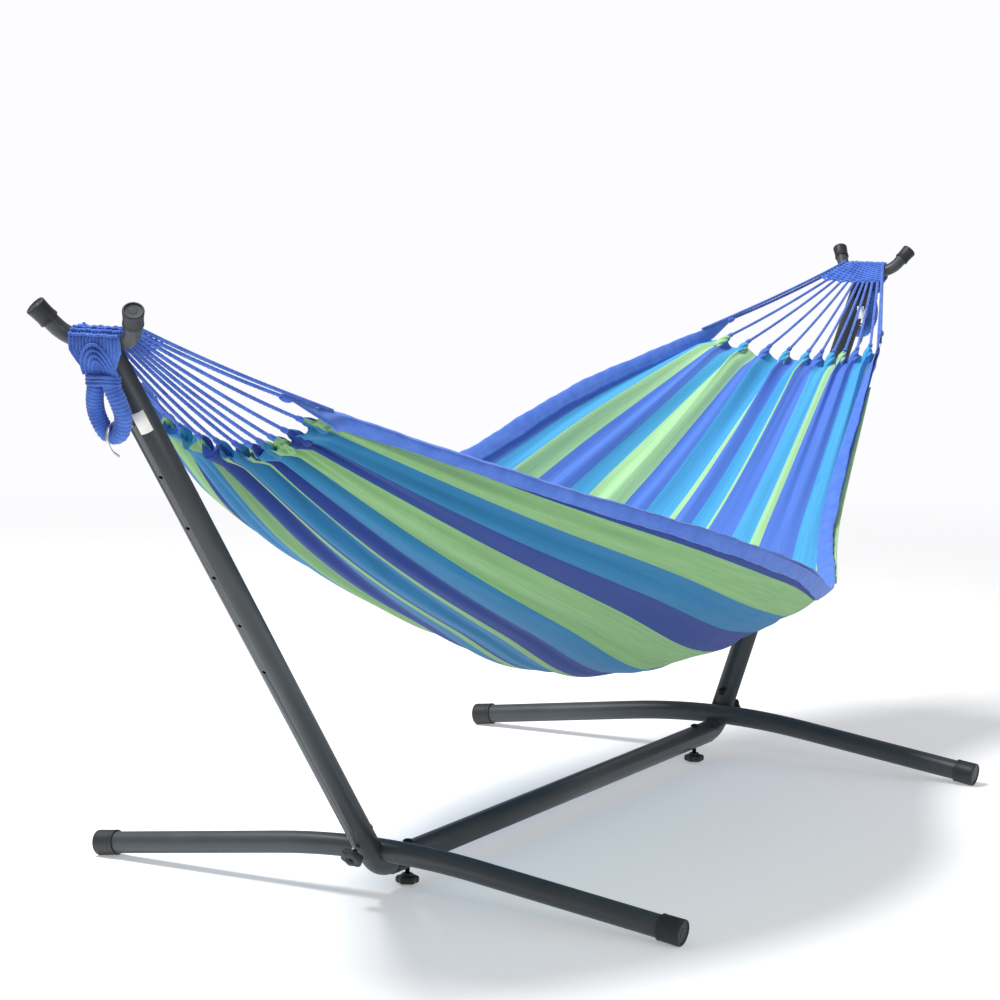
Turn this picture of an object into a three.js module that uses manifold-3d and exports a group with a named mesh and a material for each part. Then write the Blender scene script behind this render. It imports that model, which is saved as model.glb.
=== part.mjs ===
// A hammock on a free-standing steel stand, in millimetres, +Z up.
// The stand's long axis is X, its front is -Y, and the origin is on the floor under its middle.
import * as THREE from "three";
import { mergeVertices } from "three/addons/utils/BufferGeometryUtils.js";
import Module from "manifold-3d";

const wasm = await Module();
wasm.setup();

// Overall sizes of the stand
const legSpacing = 1360; // between the two cross legs
const legSpan = 1115; // across one cross leg, over its end caps
const armLength = 1254.5; // from the elbow's corner to the line through the horn tips
const armElevation = THREE.MathUtils.degToRad(49.65);
const beamAxisHeight = 52;
const cornerInset = 5.5; // the elbow's corner lies this far inside the cross leg

// Tubes
const mainOd = 44; // centre beam and arms
const legOd = 38;
const cradleOd = 25;
const tubeWall = 1.5;
const stubClearance = 0.5; // around an elbow's stub inside a beam or an arm
const elbowOd = mainOd - 2 * (tubeWall + stubClearance);
const touchGap = 0.3; // between pieces that touch
const elbowBend = 75; // centre-line radius
const elbowStubInBeam = 116;
const elbowStubInArm = 82;
const beamEndToBend = 5;
const armOverLeg = 2.14; // between the arm's lower end and the leg that passes under it
const legSlope = THREE.MathUtils.degToRad(7.6);
const legArchHalf = 190; // the curved middle of a leg, each side of the beam

// Plastic end caps
const capWall = 2.8;
const capLength = 40;
const capFlat = 1; // depth of the foot that the floor side of a leg cap has
const hornCapWall = 2.7;
const hornCapLength = 30;

// Bolts with star knobs
const boltRadius = 4;
const boltClearance = 0.3;
const boltHeadRadius = 9;
const boltHeadHeight = 5;
const beamBoltFromCorner = 98;
const armBoltFromCorner = 78;
const knobRadius = 20;
const knobLobe = 1.6;
const knobLobes = 6;
const knobHeight = 17;
const knobStandOff = 10; // bare bolt between a tube and its knob
const knobBoltCover = 3; // how far the bolt's end sits inside the knob

// Cradle: a bent tube across the arm's top that keeps the harness between two horns
const cradleDrop = 63; // from the line through the horn tips down to the cradle's middle
const cradleFlatHalf = 25;
const cradleBend = 45;
const hornFlare = THREE.MathUtils.degToRad(65);
const hornHalfSpan = 83;

// Hook holes down the outer face of each arm, and the wire hook in the top one
const hookHoleFromTips = 205;
const hookHolePitch = 107;
const hookHoleCount = 6;
const hookWire = 5;
const hookHoleClearance = 1.1; // around the wire
// The wire's route, each point [out from the arm's outer face, up]: through the face, out, over the strand and down
const hookRoute = [[-36, 0], [2, 0], [16, 12], [26, 30], [42, 37], [57, 26], [60, 8], [52, -12]];

// Label on the left arm
const labelLength = 40;
const labelThickness = 0.5;
const labelCentre = THREE.MathUtils.degToRad(50); // from the front towards the outer face
const labelHalfAngle = THREE.MathUtils.degToRad(24);

// Woven harness over the cradle, and the wrapped loop under it
const harnessThickness = 6.4;
const harnessHalfTop = 42;
const harnessHalfBottom = 18;
const harnessDrop = 37.76; // below the arm's outer face at the cradle's height
const harnessFlapFrom = 20; // where the flap leaves the cradle's tube, below its middle
const harnessOffArm = 6.3; // between the flap's lower end and the arm
const harnessEndThickness = 10.5;
const harnessInnerEdge = THREE.MathUtils.degToRad(130);
const ropeClearance = 0.6;
const loopRope = 25;
// One strand of the loop, down to its lowest point: [out, y, down] from the arm's outer face at the cradle's height
const loopRoute = [[-22.77, 13.5, 51.26], [-29.77, 20, 69.76], [-38.77, 22, 91.76], [-45.77, 13, 113.76], [-47.77, 0, 119.76]];

// Fabric bed: seven stations from the left end to the right one, each [y, z]
const bedLeftX = -1112;
const bedRightX = 1034;
const bedThickness = 5;
const bedWallAngle = THREE.MathUtils.degToRad(56);
const keelLeftX = -1152;
const keelRightX = 1005;
const frontHem = [[-145, 850], [-355, 715], [-470, 610], [-480, 515], [-390, 425], [-250, 505], [-195, 830]];
const backHem = [[145, 850], [290, 675], [385, 580], [420, 570], [400, 625], [330, 740], [195, 845]];
const keel = [[-40, 790], [-50, 580], [-45, 415], [-25, 285], [-5, 320], [-15, 500], [-50, 805]];

// Cords from each harness to the bed's end; a place runs from -1 at the front hem to 1 at the back hem
const cordDiameter = 6;
const cordPlaces = [-1, -0.82, -0.62, -0.45, -0.3, -0.14, 0.02, 0.18, 0.35, 0.55, 0.75, 1];
const cordStartIn = 20; // from the cradle's middle towards the bed
const cordStartUp = 14;
const cordStartHalf = 44;
const cordSag = 6;
const cordEndGap = 5;

// ---------------------------------------------------------------- materials

const finish = (color, roughness, metalness = 0) =>
  new THREE.MeshStandardMaterial({ color, roughness, metalness });
const charcoalPaint = () => finish(0x3d4246, 0.45, 0.3);
const blackPlastic = () => finish(0x26292b, 0.55);
const blackSteel = () => finish(0x1f2123, 0.4, 0.6);
const zincSteel = () => finish(0xd2d4d2, 0.35, 0.9);
const whitePaper = () => finish(0xe9e9e4, 0.7);
const royalCord = () => finish(0x4f7be0, 0.9);
const stripedCotton = () => finish(0x3f78c8, 0.95);

// ---------------------------------------------------------------- helpers

const vec = (x, y, z) => new THREE.Vector3(x, y, z);

function mesh(name, geometry, material) {
  const made = new THREE.Mesh(geometry, material);
  made.name = name;
  return made;
}

function solidOf(geometry) {
  const bare = geometry.clone();
  bare.deleteAttribute("normal");
  bare.deleteAttribute("uv");
  const merged = mergeVertices(bare, 1e-4);
  return new wasm.Manifold(
    new wasm.Mesh({
      numProp: 3,
      vertProperties: merged.attributes.position.array,
      triVerts: new Uint32Array(merged.index.array),
    }),
  );
}

function geometryOf(solid) {
  const made = solid.getMesh();
  const geometry = new THREE.BufferGeometry();
  geometry.setAttribute("position", new THREE.BufferAttribute(new Float32Array(made.vertProperties), 3));
  geometry.setIndex(new THREE.BufferAttribute(new Uint32Array(made.triVerts), 1));
  geometry.computeVertexNormals();
  return geometry;
}

const cut = (geometry, ...tools) =>
  geometryOf(tools.reduce((rest, tool) => rest.subtract(solidOf(tool)), solidOf(geometry)));
const join = (geometry, ...others) =>
  geometryOf(others.reduce((sum, other) => sum.add(solidOf(other)), solidOf(geometry)));
const common = (geometry, other) => geometryOf(solidOf(geometry).intersect(solidOf(other)));

// A bent tube's centre line: straight runs between corners, rounded by arcs of one radius.
class BentLine extends THREE.Curve {
  constructor(corners, radius) {
    super();
    this.pieces = [];
    let from = corners[0];
    for (let i = 1; i < corners.length; i++) {
      const last = i === corners.length - 1;
      const along = corners[i].clone().sub(from).normalize();
      if (last) {
        this.addRun(from, corners[i]);
        break;
      }
      const onward = corners[i + 1].clone().sub(corners[i]).normalize();
      const turn = along.angleTo(onward);
      const trim = radius * Math.tan(turn / 2);
      const start = corners[i].clone().addScaledVector(along, -trim);
      this.addRun(from, start);
      const inward = onward.clone().addScaledVector(along, -onward.dot(along)).normalize();
      const centre = start.clone().addScaledVector(inward, radius);
      const arcPoint = (share) =>
        centre.clone()
          .addScaledVector(inward, -radius * Math.cos(turn * share))
          .addScaledVector(along, radius * Math.sin(turn * share));
      this.pieces.push({ length: radius * turn, point: arcPoint });
      from = arcPoint(1);
    }
    this.total = this.pieces.reduce((sum, piece) => sum + piece.length, 0);
  }

  addRun(from, to) {
    this.pieces.push({ length: from.distanceTo(to), point: (share) => from.clone().lerp(to, share) });
  }

  getPoint(t) {
    let rest = t * this.total;
    for (const piece of this.pieces) {
      if (rest <= piece.length) return piece.point(rest / piece.length);
      rest -= piece.length;
    }
    return this.pieces.at(-1).point(1);
  }
}

function disc(radius, holeRadius = 0) {
  const shape = new THREE.Shape().absarc(0, 0, radius, 0, 2 * Math.PI);
  if (holeRadius > 0) shape.holes.push(new THREE.Path().absarc(0, 0, holeRadius, 0, 2 * Math.PI));
  return shape;
}

const sweep = (shape, path, sides, steps) =>
  new THREE.ExtrudeGeometry(shape, { extrudePath: path, steps, curveSegments: sides / 2 });
const tubeAlong = (path, od, wall, sides, steps) =>
  sweep(disc(od / 2, od / 2 - wall), path, sides, steps);
const rodAlong = (path, diameter, sides, steps) => sweep(disc(diameter / 2), path, sides, steps);
const straight = (from, to) => new THREE.LineCurve3(from, to);

// A lathe piece turned from its own +Y axis to run along a direction from a point.
function turned(profile, sides, from, direction) {
  const turn = new THREE.Quaternion().setFromUnitVectors(vec(0, 1, 0), direction);
  return new THREE.LatheGeometry(profile.map(([r, y]) => new THREE.Vector2(r, y)), sides)
    .applyQuaternion(turn)
    .translate(from.x, from.y, from.z);
}

// ---------------------------------------------------------------- the stand's lines, for the +X end

const across = vec(0, 1, 0);
const armUp = vec(Math.cos(armElevation), 0, Math.sin(armElevation));
const armOut = vec(Math.sin(armElevation), 0, -Math.cos(armElevation)); // out of the arm's outer face
const legX = legSpacing / 2;
const corner = vec(legX - cornerInset, 0, beamAxisHeight);
const onArm = (distance) => corner.clone().addScaledVector(armUp, distance);
const tips = onArm(armLength);
const cradleMiddle = onArm(armLength - cradleDrop);
const elbowTrim = elbowBend * Math.tan(armElevation / 2);
const beamHalf = corner.x - elbowTrim - beamEndToBend;
const capOd = legOd + 2 * (touchGap + capWall);
const legEndHeight = (capOd / 2 - capFlat) * Math.cos(legSlope);
const hornCapOd = cradleOd + 2 * (touchGap + hornCapWall);

// The leg's centre line: two straight runs that would meet above the beam, rounded over the arch.
const legRadius = legArchHalf / Math.sin(legSlope);
const legApex = legEndHeight + (legSpan / 2) * Math.tan(legSlope);
const legEnd = (side) => vec(legX, (side * legSpan) / 2, legEndHeight);
const legDown = (side) => vec(0, side * Math.cos(legSlope), -Math.sin(legSlope));
const tubeEndInCap = capWall + touchGap;
const legTubeEnd = (side) => legEnd(side).addScaledVector(legDown(side), -tubeEndInCap);
const legLine = new BentLine([legTubeEnd(-1), vec(legX, 0, legApex), legTubeEnd(1)], legRadius);

const legCrest = vec(legX, 0, legApex - legRadius * (1 / Math.cos(legSlope) - 1));
const armEndFromCorner = legCrest.sub(corner).dot(armUp) + legOd / 2 + armOverLeg;

// The elbow's centre line: along the beam, round the bend, and up the arm.
const elbowLine = new BentLine(
  [
    vec(beamHalf - elbowStubInBeam, 0, beamAxisHeight),
    corner,
    onArm(armEndFromCorner + elbowStubInArm),
  ],
  elbowBend,
);
const elbowSides = 16;
const elbowSteps = 14;

// The cradle's centre line, in the plane of the arm and the Y axis.
const inCradle = (y, up) => cradleMiddle.clone().addScaledVector(across, y).addScaledVector(armUp, up);
const cradleCorner = cradleFlatHalf + cradleBend * Math.tan(hornFlare / 2);
const hornRise = (hornHalfSpan - cradleCorner) * Math.tan(hornFlare);
const hornDirection = (side) =>
  across.clone().multiplyScalar(side * Math.cos(hornFlare)).addScaledVector(armUp, Math.sin(hornFlare));
const hornTip = (side) => inCradle(side * hornHalfSpan, hornRise);
const hornTubeEnd = (side) =>
  hornTip(side).addScaledVector(hornDirection(side), -(hornCapWall + touchGap));
const cradleLine = new BentLine(
  [hornTubeEnd(-1), inCradle(-cradleCorner, 0), inCradle(cradleCorner, 0), hornTubeEnd(1)],
  cradleBend,
);
const cradleSides = 12;
const cradleSteps = 16;

// ---------------------------------------------------------------- frame pieces

const boltHole = (centre, direction) => {
  const reach = mainOd / 2 + 3;
  const from = centre.clone().addScaledVector(direction, -reach);
  const to = centre.clone().addScaledVector(direction, reach);
  return rodAlong(straight(from, to), 2 * (boltRadius + boltClearance), 12, 1);
};
const down = vec(0, 0, -1);
const beamBoltCentre = vec(corner.x - beamBoltFromCorner, 0, beamAxisHeight);
const armBoltCentre = onArm(armBoltFromCorner);

function centreBeam() {
  const line = straight(vec(-beamHalf, 0, beamAxisHeight), vec(beamHalf, 0, beamAxisHeight));
  const otherHole = beamBoltCentre.clone().setX(-beamBoltCentre.x);
  return cut(tubeAlong(line, mainOd, tubeWall, 20, 1), boltHole(beamBoltCentre, down), boltHole(otherHole, down));
}

const elbow = () =>
  cut(
    tubeAlong(elbowLine, elbowOd, tubeWall, elbowSides, elbowSteps),
    boltHole(beamBoltCentre, down),
    boltHole(armBoltCentre, armOut),
  );

// The leg is notched to sit over the elbow, to which it is welded.
const leg = () =>
  cut(
    tubeAlong(legLine, legOd, tubeWall, 16, 10),
    rodAlong(elbowLine, elbowOd + 2 * touchGap, elbowSides, elbowSteps),
  );

// A cap is a cup over the tube's end, with a rounded rim and two shallow grip steps.
function endCap(tubeRadius, wall, length, sides, end, direction) {
  const inner = tubeRadius + touchGap;
  const outer = inner + wall;
  const round = wall / 2;
  const profile = [
    [0, 0], [outer - round, 0], [outer, -round], [outer, -length + round], [outer - round, -length],
    [inner, -length], [inner, -wall], [0, -wall],
  ];
  return turned(profile.reverse(), sides, end, direction);
}

function legCap(side) {
  const cap = endCap(legOd / 2, capWall, capLength, 20, legEnd(side), legDown(side));
  const floorCutDepth = 20;
  const underFloor = new THREE.BoxGeometry(2 * capOd, 4 * capLength, floorCutDepth)
    .translate(legX, legEnd(side).y, -floorCutDepth / 2);
  return cut(cap, underFloor);
}

function arm() {
  const line = straight(onArm(armEndFromCorner), onArm(armLength - cradleDrop - cradleOd / 2 - touchGap));
  const holes = [];
  for (let i = 0; i < hookHoleCount; i++) {
    const centre = onArm(armLength - hookHoleFromTips - i * hookHolePitch);
    const mouth = centre.clone().addScaledVector(armOut, mainOd);
    holes.push(rodAlong(straight(centre, mouth), hookWire + 2 * hookHoleClearance, 10, 1));
  }
  return cut(tubeAlong(line, mainOd, tubeWall, 20, 1), boltHole(armBoltCentre, armOut), ...holes);
}

const cradle = () => tubeAlong(cradleLine, cradleOd, tubeWall, cradleSides, cradleSteps);

const hornCap = (side) =>
  endCap(cradleOd / 2, hornCapWall, hornCapLength, 16, hornTip(side), hornDirection(side));

// ---------------------------------------------------------------- fasteners

// A dome-headed bolt through a main tube, and its star knob on the far side.
const headSeat = mainOd / 2 + touchGap;
const knobFrom = mainOd / 2 + knobStandOff;

function bolt(centre, direction) {
  const shaftEnd = knobFrom + knobHeight - knobBoltCover;
  const headTop = -headSeat - boltHeadHeight;
  const profile = [
    [0, headTop], [boltHeadRadius * 0.6, headTop + 1], [boltHeadRadius, headTop + 3.5],
    [boltHeadRadius, -headSeat], [boltRadius, -headSeat], [boltRadius, shaftEnd], [0, shaftEnd],
  ];
  return turned(profile, 12, centre, direction);
}

function knob(centre, direction) {
  const outline = new THREE.Shape();
  const points = 4 * knobLobes;
  for (let i = 0; i <= points; i++) {
    const angle = (2 * Math.PI * i) / points;
    const r = knobRadius - knobLobe + knobLobe * Math.cos(knobLobes * angle);
    if (i === 0) outline.moveTo(r, 0);
    else outline.lineTo(r * Math.cos(angle), r * Math.sin(angle));
  }
  outline.holes.push(new THREE.Path().absarc(0, 0, boltRadius + boltClearance, 0, 2 * Math.PI));
  const from = centre.clone().addScaledVector(direction, knobFrom);
  const to = from.clone().addScaledVector(direction, knobHeight);
  return sweep(outline, straight(from, to), 12, 1);
}

// The wire hook: a shank in the arm's top hole, out, over the loop's strand and back down.
function hook() {
  const centre = onArm(armLength - hookHoleFromTips);
  const points = hookRoute.map(([out, up]) =>
    centre.clone().addScaledVector(armOut, mainOd / 2 + out).addScaledVector(armUp, up));
  return rodAlong(new THREE.CatmullRomCurve3(points), hookWire, 8, 16);
}

// The label is a thin patch bent round the arm, beside the top hook hole.
function label() {
  const inner = mainOd / 2 + touchGap;
  const patch = new THREE.Shape();
  patch.absarc(0, 0, inner + labelThickness, labelCentre - labelHalfAngle, labelCentre + labelHalfAngle, false);
  patch.absarc(0, 0, inner, labelCentre + labelHalfAngle, labelCentre - labelHalfAngle, true);
  patch.closePath();
  const centre = onArm(armLength - hookHoleFromTips - labelLength / 2);
  // The patch's own X is +Y here, which is the front once this end is turned round, and its own Y is armOut.
  const place = new THREE.Matrix4().makeBasis(across, armOut, armUp.clone().negate());
  place.setPosition(centre.addScaledVector(armUp, labelLength));
  return new THREE.ExtrudeGeometry(patch, { depth: labelLength, bevelEnabled: false, curveSegments: 4 })
    .applyMatrix4(place);
}

// ---------------------------------------------------------------- harness and loop

const tubeHugging = cradleOd / 2 + ropeClearance;

// How far out the arm's outer face lies at a drop below the cradle's middle.
const armFaceAt = (drop) => mainOd / 2 / Math.sin(armElevation) - drop / Math.tan(armElevation);

const harnessEnd = harnessDrop - (mainOd / 2) * armOut.z;

// The harness's side outline, [outwards, up] from the cradle's middle: over the tube and down outside the arm.
function harness() {
  const outer = tubeHugging + harnessThickness;
  const flapStart = Math.max(tubeHugging, armFaceAt(harnessFlapFrom) + ropeClearance);
  const flapEnd = armFaceAt(harnessEnd) + harnessOffArm;
  const side = new THREE.Shape();
  side.absarc(0, 0, outer, harnessInnerEdge, 0, true);
  side.lineTo(flapStart + harnessThickness, -harnessFlapFrom);
  side.lineTo(flapEnd + harnessEndThickness, -harnessEnd);
  side.lineTo(flapEnd, -harnessEnd);
  side.lineTo(flapStart, -harnessFlapFrom);
  side.absarc(0, 0, tubeHugging, 0, harnessInnerEdge, false);
  side.closePath();
  const band = new THREE.ExtrudeGeometry(side, {
    depth: 2 * harnessHalfTop, bevelEnabled: false, curveSegments: 8,
  })
    .rotateX(Math.PI / 2)
    .translate(cradleMiddle.x, harnessHalfTop, cradleMiddle.z);
  const front = new THREE.Shape()
    .moveTo(-harnessHalfTop, -16)
    .lineTo(-harnessHalfBottom, -harnessEnd - 1)
    .lineTo(harnessHalfBottom, -harnessEnd - 1)
    .lineTo(harnessHalfTop, -16)
    .lineTo(harnessHalfTop, 40)
    .lineTo(-harnessHalfTop, 40)
    .closePath();
  const depth = 80;
  const taper = new THREE.ExtrudeGeometry(front, { depth, bevelEnabled: false })
    .rotateX(Math.PI / 2)
    .rotateZ(Math.PI / 2)
    .translate(cradleMiddle.x - depth / 2, 0, cradleMiddle.z);
  const room = rodAlong(cradleLine, 2 * tubeHugging, cradleSides, cradleSteps);
  return geometryOf(solidOf(common(band, taper)).subtract(solidOf(room)));
}

// The loop: a wrapped rope whose two strands leave the harness side by side and meet under the hook.
function hangingLoop() {
  const strand = loopRoute.slice(0, -1);
  const route = [...loopRoute, ...strand.toReversed().map(([out, y, drop]) => [out, -y, drop])];
  const points = route.map(([out, y, drop]) =>
    cradleMiddle.clone().addScaledVector(armOut, mainOd / 2).add(vec(out, y, -drop)));
  return rodAlong(new THREE.CatmullRomCurve3(points), loopRope, 10, 16);
}

// ---------------------------------------------------------------- bed and cords

// A value that runs smoothly through evenly spaced stations, for t from 0 to 1.
function through(values, t) {
  const last = values.length - 1;
  const at = (i) => {
    if (i < 0) return 2 * values[0] - values[1];
    if (i > last) return 2 * values[last] - values[last - 1];
    return values[i];
  };
  const i = Math.min(Math.floor(t * last), last - 1);
  const f = t * last - i;
  const [a, b, c, d] = [at(i - 1), at(i), at(i + 1), at(i + 2)];
  return b + 0.5 * f * (c - a + f * (2 * a - 5 * b + 4 * c - d + f * (3 * (b - c) + d - a)));
}

// A point of the fabric: t runs from the left end to the right one, place from hem to hem.
function bedPoint(t, place) {
  const hem = place < 0 ? frontHem : backHem;
  const turn = Math.abs(place) * bedWallAngle;
  const out = Math.sin(turn) / Math.sin(bedWallAngle);
  const up = (1 - Math.cos(turn)) / (1 - Math.cos(bedWallAngle));
  const [keelY, keelZ] = [0, 1].map((axis) => through(keel.map((p) => p[axis]), t));
  const [hemY, hemZ] = [0, 1].map((axis) => through(hem.map((p) => p[axis]), t));
  const keelX = THREE.MathUtils.lerp(keelLeftX, keelRightX, t);
  const hemX = THREE.MathUtils.lerp(bedLeftX, bedRightX, t);
  return vec(
    THREE.MathUtils.lerp(keelX, hemX, up),
    THREE.MathUtils.lerp(keelY, hemY, out),
    THREE.MathUtils.lerp(keelZ, hemZ, up),
  );
}

// The bed is a thin block bent into the trough that the fabric hangs in.
function bed() {
  const block = new THREE.BoxGeometry(1, 1, 1, 18, 14, 1);
  const position = block.attributes.position;
  const step = 0.001;
  for (let i = 0; i < position.count; i++) {
    const t = THREE.MathUtils.clamp(position.getX(i) + 0.5, step, 1 - step);
    const place = THREE.MathUtils.clamp(2 * position.getY(i), step - 1, 1 - step);
    const alongBed = bedPoint(t + step, place).sub(bedPoint(t - step, place));
    const acrossBed = bedPoint(t, place + step).sub(bedPoint(t, place - step));
    const normal = alongBed.cross(acrossBed).normalize();
    const point = bedPoint(t, place).addScaledVector(normal, bedThickness * position.getZ(i));
    position.setXYZ(i, point.x, point.y, point.z);
  }
  return block;
}

// A cord leaves the harness's inner edge and hangs almost straight to the bed's end.
function cord(end, place) {
  const start = vec(end * (cradleMiddle.x - cordStartIn), place * cordStartHalf, cradleMiddle.z + cordStartUp);
  const tie = bedPoint(end < 0 ? 0 : 1, place);
  const toward = start.clone().sub(tie).normalize();
  tie.addScaledVector(toward, cordEndGap);
  const middle = start.clone().lerp(tie, 0.5);
  middle.z -= 2 * cordSag;
  return rodAlong(new THREE.QuadraticBezierCurve3(start, middle, tie), cordDiameter, 8, 5);
}

// ---------------------------------------------------------------- assembly

const hammock = new THREE.Group();
hammock.add(mesh("centre_beam", centreBeam(), charcoalPaint()));
hammock.add(mesh("bed", bed(), stripedCotton()));

for (const [side, end] of [["left", -1], ["right", 1]]) {
  // The left end is the right end turned half a turn about Z.
  const group = new THREE.Group();
  group.rotation.z = end < 0 ? Math.PI : 0;
  const add = (name, geometry, material) => group.add(mesh(`${name}_${side}`, geometry, material));
  const facing = (y) => (y * end < 0 ? "front" : "back");
  add("elbow", elbow(), charcoalPaint());
  add("leg", leg(), charcoalPaint());
  add("arm", arm(), charcoalPaint());
  add("cradle", cradle(), charcoalPaint());
  for (const y of [-1, 1]) {
    group.add(mesh(`leg_cap_${side}_${facing(y)}`, legCap(y), blackPlastic()));
    group.add(mesh(`horn_cap_${side}_${facing(y)}`, hornCap(y), blackPlastic()));
  }
  add("beam_bolt", bolt(beamBoltCentre, down), blackSteel());
  add("beam_knob", knob(beamBoltCentre, down), blackPlastic());
  add("arm_bolt", bolt(armBoltCentre, armOut), blackSteel());
  add("arm_knob", knob(armBoltCentre, armOut), blackPlastic());
  add("hook", hook(), zincSteel());
  add("harness", harness(), royalCord());
  add("hanging_loop", hangingLoop(), royalCord());
  if (end < 0) group.add(mesh("size_label", label(), whitePaper()));
  hammock.add(group);
  cordPlaces.forEach((place, i) => {
    const number = String(i + 1).padStart(2, "0");
    hammock.add(mesh(`cord_${side}_${number}`, cord(end, place), royalCord()));
  });
}

export default hammock;
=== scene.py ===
# %% [markdown]
# # A striped hammock on its steel stand
# The stand is bent steel tube with plastic caps and star knobs. The hammock is woven cotton, hung by a
# fan of cords at each end. The frame comes from a CAD model, and this lesson builds the soft parts and
# the fine surfaces around it: first the camera and the cords, then the cloth, then the metal.

import math

import bpy
import numpy as np
from mathutils import Matrix, Vector


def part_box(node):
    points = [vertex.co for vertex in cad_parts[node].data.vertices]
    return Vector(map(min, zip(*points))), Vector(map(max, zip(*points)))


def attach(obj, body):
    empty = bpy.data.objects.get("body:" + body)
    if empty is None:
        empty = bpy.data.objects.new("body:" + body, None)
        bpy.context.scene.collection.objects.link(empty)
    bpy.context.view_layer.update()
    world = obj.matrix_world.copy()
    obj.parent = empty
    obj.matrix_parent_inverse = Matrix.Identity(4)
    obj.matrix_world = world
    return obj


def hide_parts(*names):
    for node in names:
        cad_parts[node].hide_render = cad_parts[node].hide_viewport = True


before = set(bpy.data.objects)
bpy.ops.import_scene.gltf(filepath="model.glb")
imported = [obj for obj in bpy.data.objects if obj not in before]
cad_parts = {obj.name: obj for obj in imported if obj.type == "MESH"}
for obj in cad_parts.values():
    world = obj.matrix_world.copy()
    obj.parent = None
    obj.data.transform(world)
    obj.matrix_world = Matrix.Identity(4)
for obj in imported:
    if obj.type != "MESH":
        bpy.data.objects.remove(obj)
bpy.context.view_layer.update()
bpy.ops.object.select_all(action="DESELECT")

# %% [markdown]
# ## Camera
# The camera stands in front of the left-hand end and looks along the hammock, a little downwards. A long
# lens keeps the near arm from looking much bigger than the far one.

# %% The camera
camera_heading = math.radians(61.81)  # from +Y towards +X
camera_down = math.radians(7.10)
camera_roll = math.radians(0.994)
camera = bpy.data.objects.new("camera", bpy.data.cameras.new("camera"))
bpy.context.scene.collection.objects.link(camera)
camera.matrix_world = (
    Matrix.Translation((-4.799, -2.427, 1.259))
    @ Matrix.Rotation(-camera_heading, 4, "Z")
    @ Matrix.Rotation(math.pi / 2 - camera_down, 4, "X")
    @ Matrix.Rotation(camera_roll, 4, "Z")
)
camera.data.lens = 107.0
camera.data.sensor_width = 36.0
camera.data.clip_end = 60.0
bpy.context.scene.camera = camera
print("camera", camera.data.lens, "mm lens")

# %% [markdown]
# ## Floor and colour
# A pale floor that is far wider than the view. Colours are written as sRGB hex values, and one function
# turns them into the linear values that a shader works in. Another adds a node with its links.

# %% Floor and colour
bpy.ops.mesh.primitive_plane_add(size=60, location=(0, 0, 0))
floor = bpy.context.object
floor.name = "floor"


def linear(hex_colour):
    """An sRGB hex colour as the linear one that a shader works in."""
    parts = [int(hex_colour[i:i + 2], 16) / 255 for i in (1, 3, 5)]
    return (*[p / 12.92 if p <= 0.04045 else ((p + 0.055) / 1.055) ** 2.4 for p in parts], 1.0)


def add_node(finish, kind, inputs=None, **settings):
    """Adds one node to a finish. Its inputs are values, or another node's outputs to link."""
    made = finish.node_tree.nodes.new(kind)
    for name, value in settings.items():
        setattr(made, name, value)
    for name, value in (inputs or {}).items():
        if isinstance(value, bpy.types.NodeSocket):
            finish.node_tree.links.new(value, made.inputs[name])
        else:
            made.inputs[name].default_value = value
    return made


def new_finish(name, **surface):
    """A new material with its shader's plain values set. Returns the material and the shader node."""
    finish = bpy.data.materials.new(name)
    finish.use_nodes = True
    shader = finish.node_tree.nodes["Principled BSDF"]
    for socket, value in surface.items():
        shader.inputs[socket.replace("_", " ")].default_value = value
    return finish, shader


def link(finish, output, shader, socket):
    """Links a node's output to one of a shader's sockets."""
    finish.node_tree.links.new(output, shader.inputs[socket])


studio_white = linear("#fdfdff")
# Matt studio paint: no gloss, and a little light of its own so that the floor stays near white.
floor_paint, floor_shader = new_finish("studio_floor_paint", Base_Color=linear("#f6f6f6"), Roughness=0.9,
                                       Emission_Color=studio_white, Emission_Strength=0.3)
floor.data.materials.append(floor_paint)
# The floor thins out into the white backdrop far behind the stand.
floor_spot = add_node(floor_paint, "ShaderNodeTexCoord")
floor_away = add_node(floor_paint, "ShaderNodeVectorMath", {0: floor_spot.outputs["Object"]},
                      operation="LENGTH")
floor_share = add_node(floor_paint, "ShaderNodeMapRange",
                       {"Value": floor_away.outputs["Value"], "From Min": 2.2, "From Max": 5.5,
                        "To Min": 1.0, "To Max": 0.0}, interpolation_type="SMOOTHSTEP")
link(floor_paint, floor_share.outputs[0], floor_shader, "Alpha")
print("floor", floor_paint.name)

# %% [markdown]
# ## Backdrop and lights
# The backdrop is white to look at, and lights the cloth like a dimmer room, so it doesn't wash out the
# folds. A round soft light overhead does most of the work, so the cloth's inner side is bright and its
# underside deep in colour, which shows its hanging shape; darker dyes on the underside add painted shade
# to it. A weak one fills in from the front.

# %% Backdrop and lights
world = bpy.data.worlds.new("studio")
bpy.context.scene.world = world
world.use_nodes = True
backdrop = world.node_tree.nodes["Background"]
backdrop.inputs["Color"].default_value = studio_white
ray = add_node(world, "ShaderNodeLightPath")
strength = add_node(world, "ShaderNodeMapRange",
                    {"Value": ray.outputs["Is Camera Ray"], "To Min": 0.36, "To Max": 1.0})
link(world, strength.outputs[0], backdrop, "Strength")
bpy.context.scene.view_settings.view_transform = "Standard"


def soft_light(name, place, aim, size, watts):
    """A round lamp at a place, turned to face its aim."""
    lamp = bpy.data.lights.new(name, "AREA")
    lamp.shape = "DISK"
    lamp.size, lamp.energy = size, watts
    made = bpy.data.objects.new(name, lamp)
    bpy.context.scene.collection.objects.link(made)
    facing = (Vector(aim) - Vector(place)).to_track_quat("-Z", "Y")
    made.matrix_world = Matrix.Translation(place) @ facing.to_matrix().to_4x4()
    return made


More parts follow.
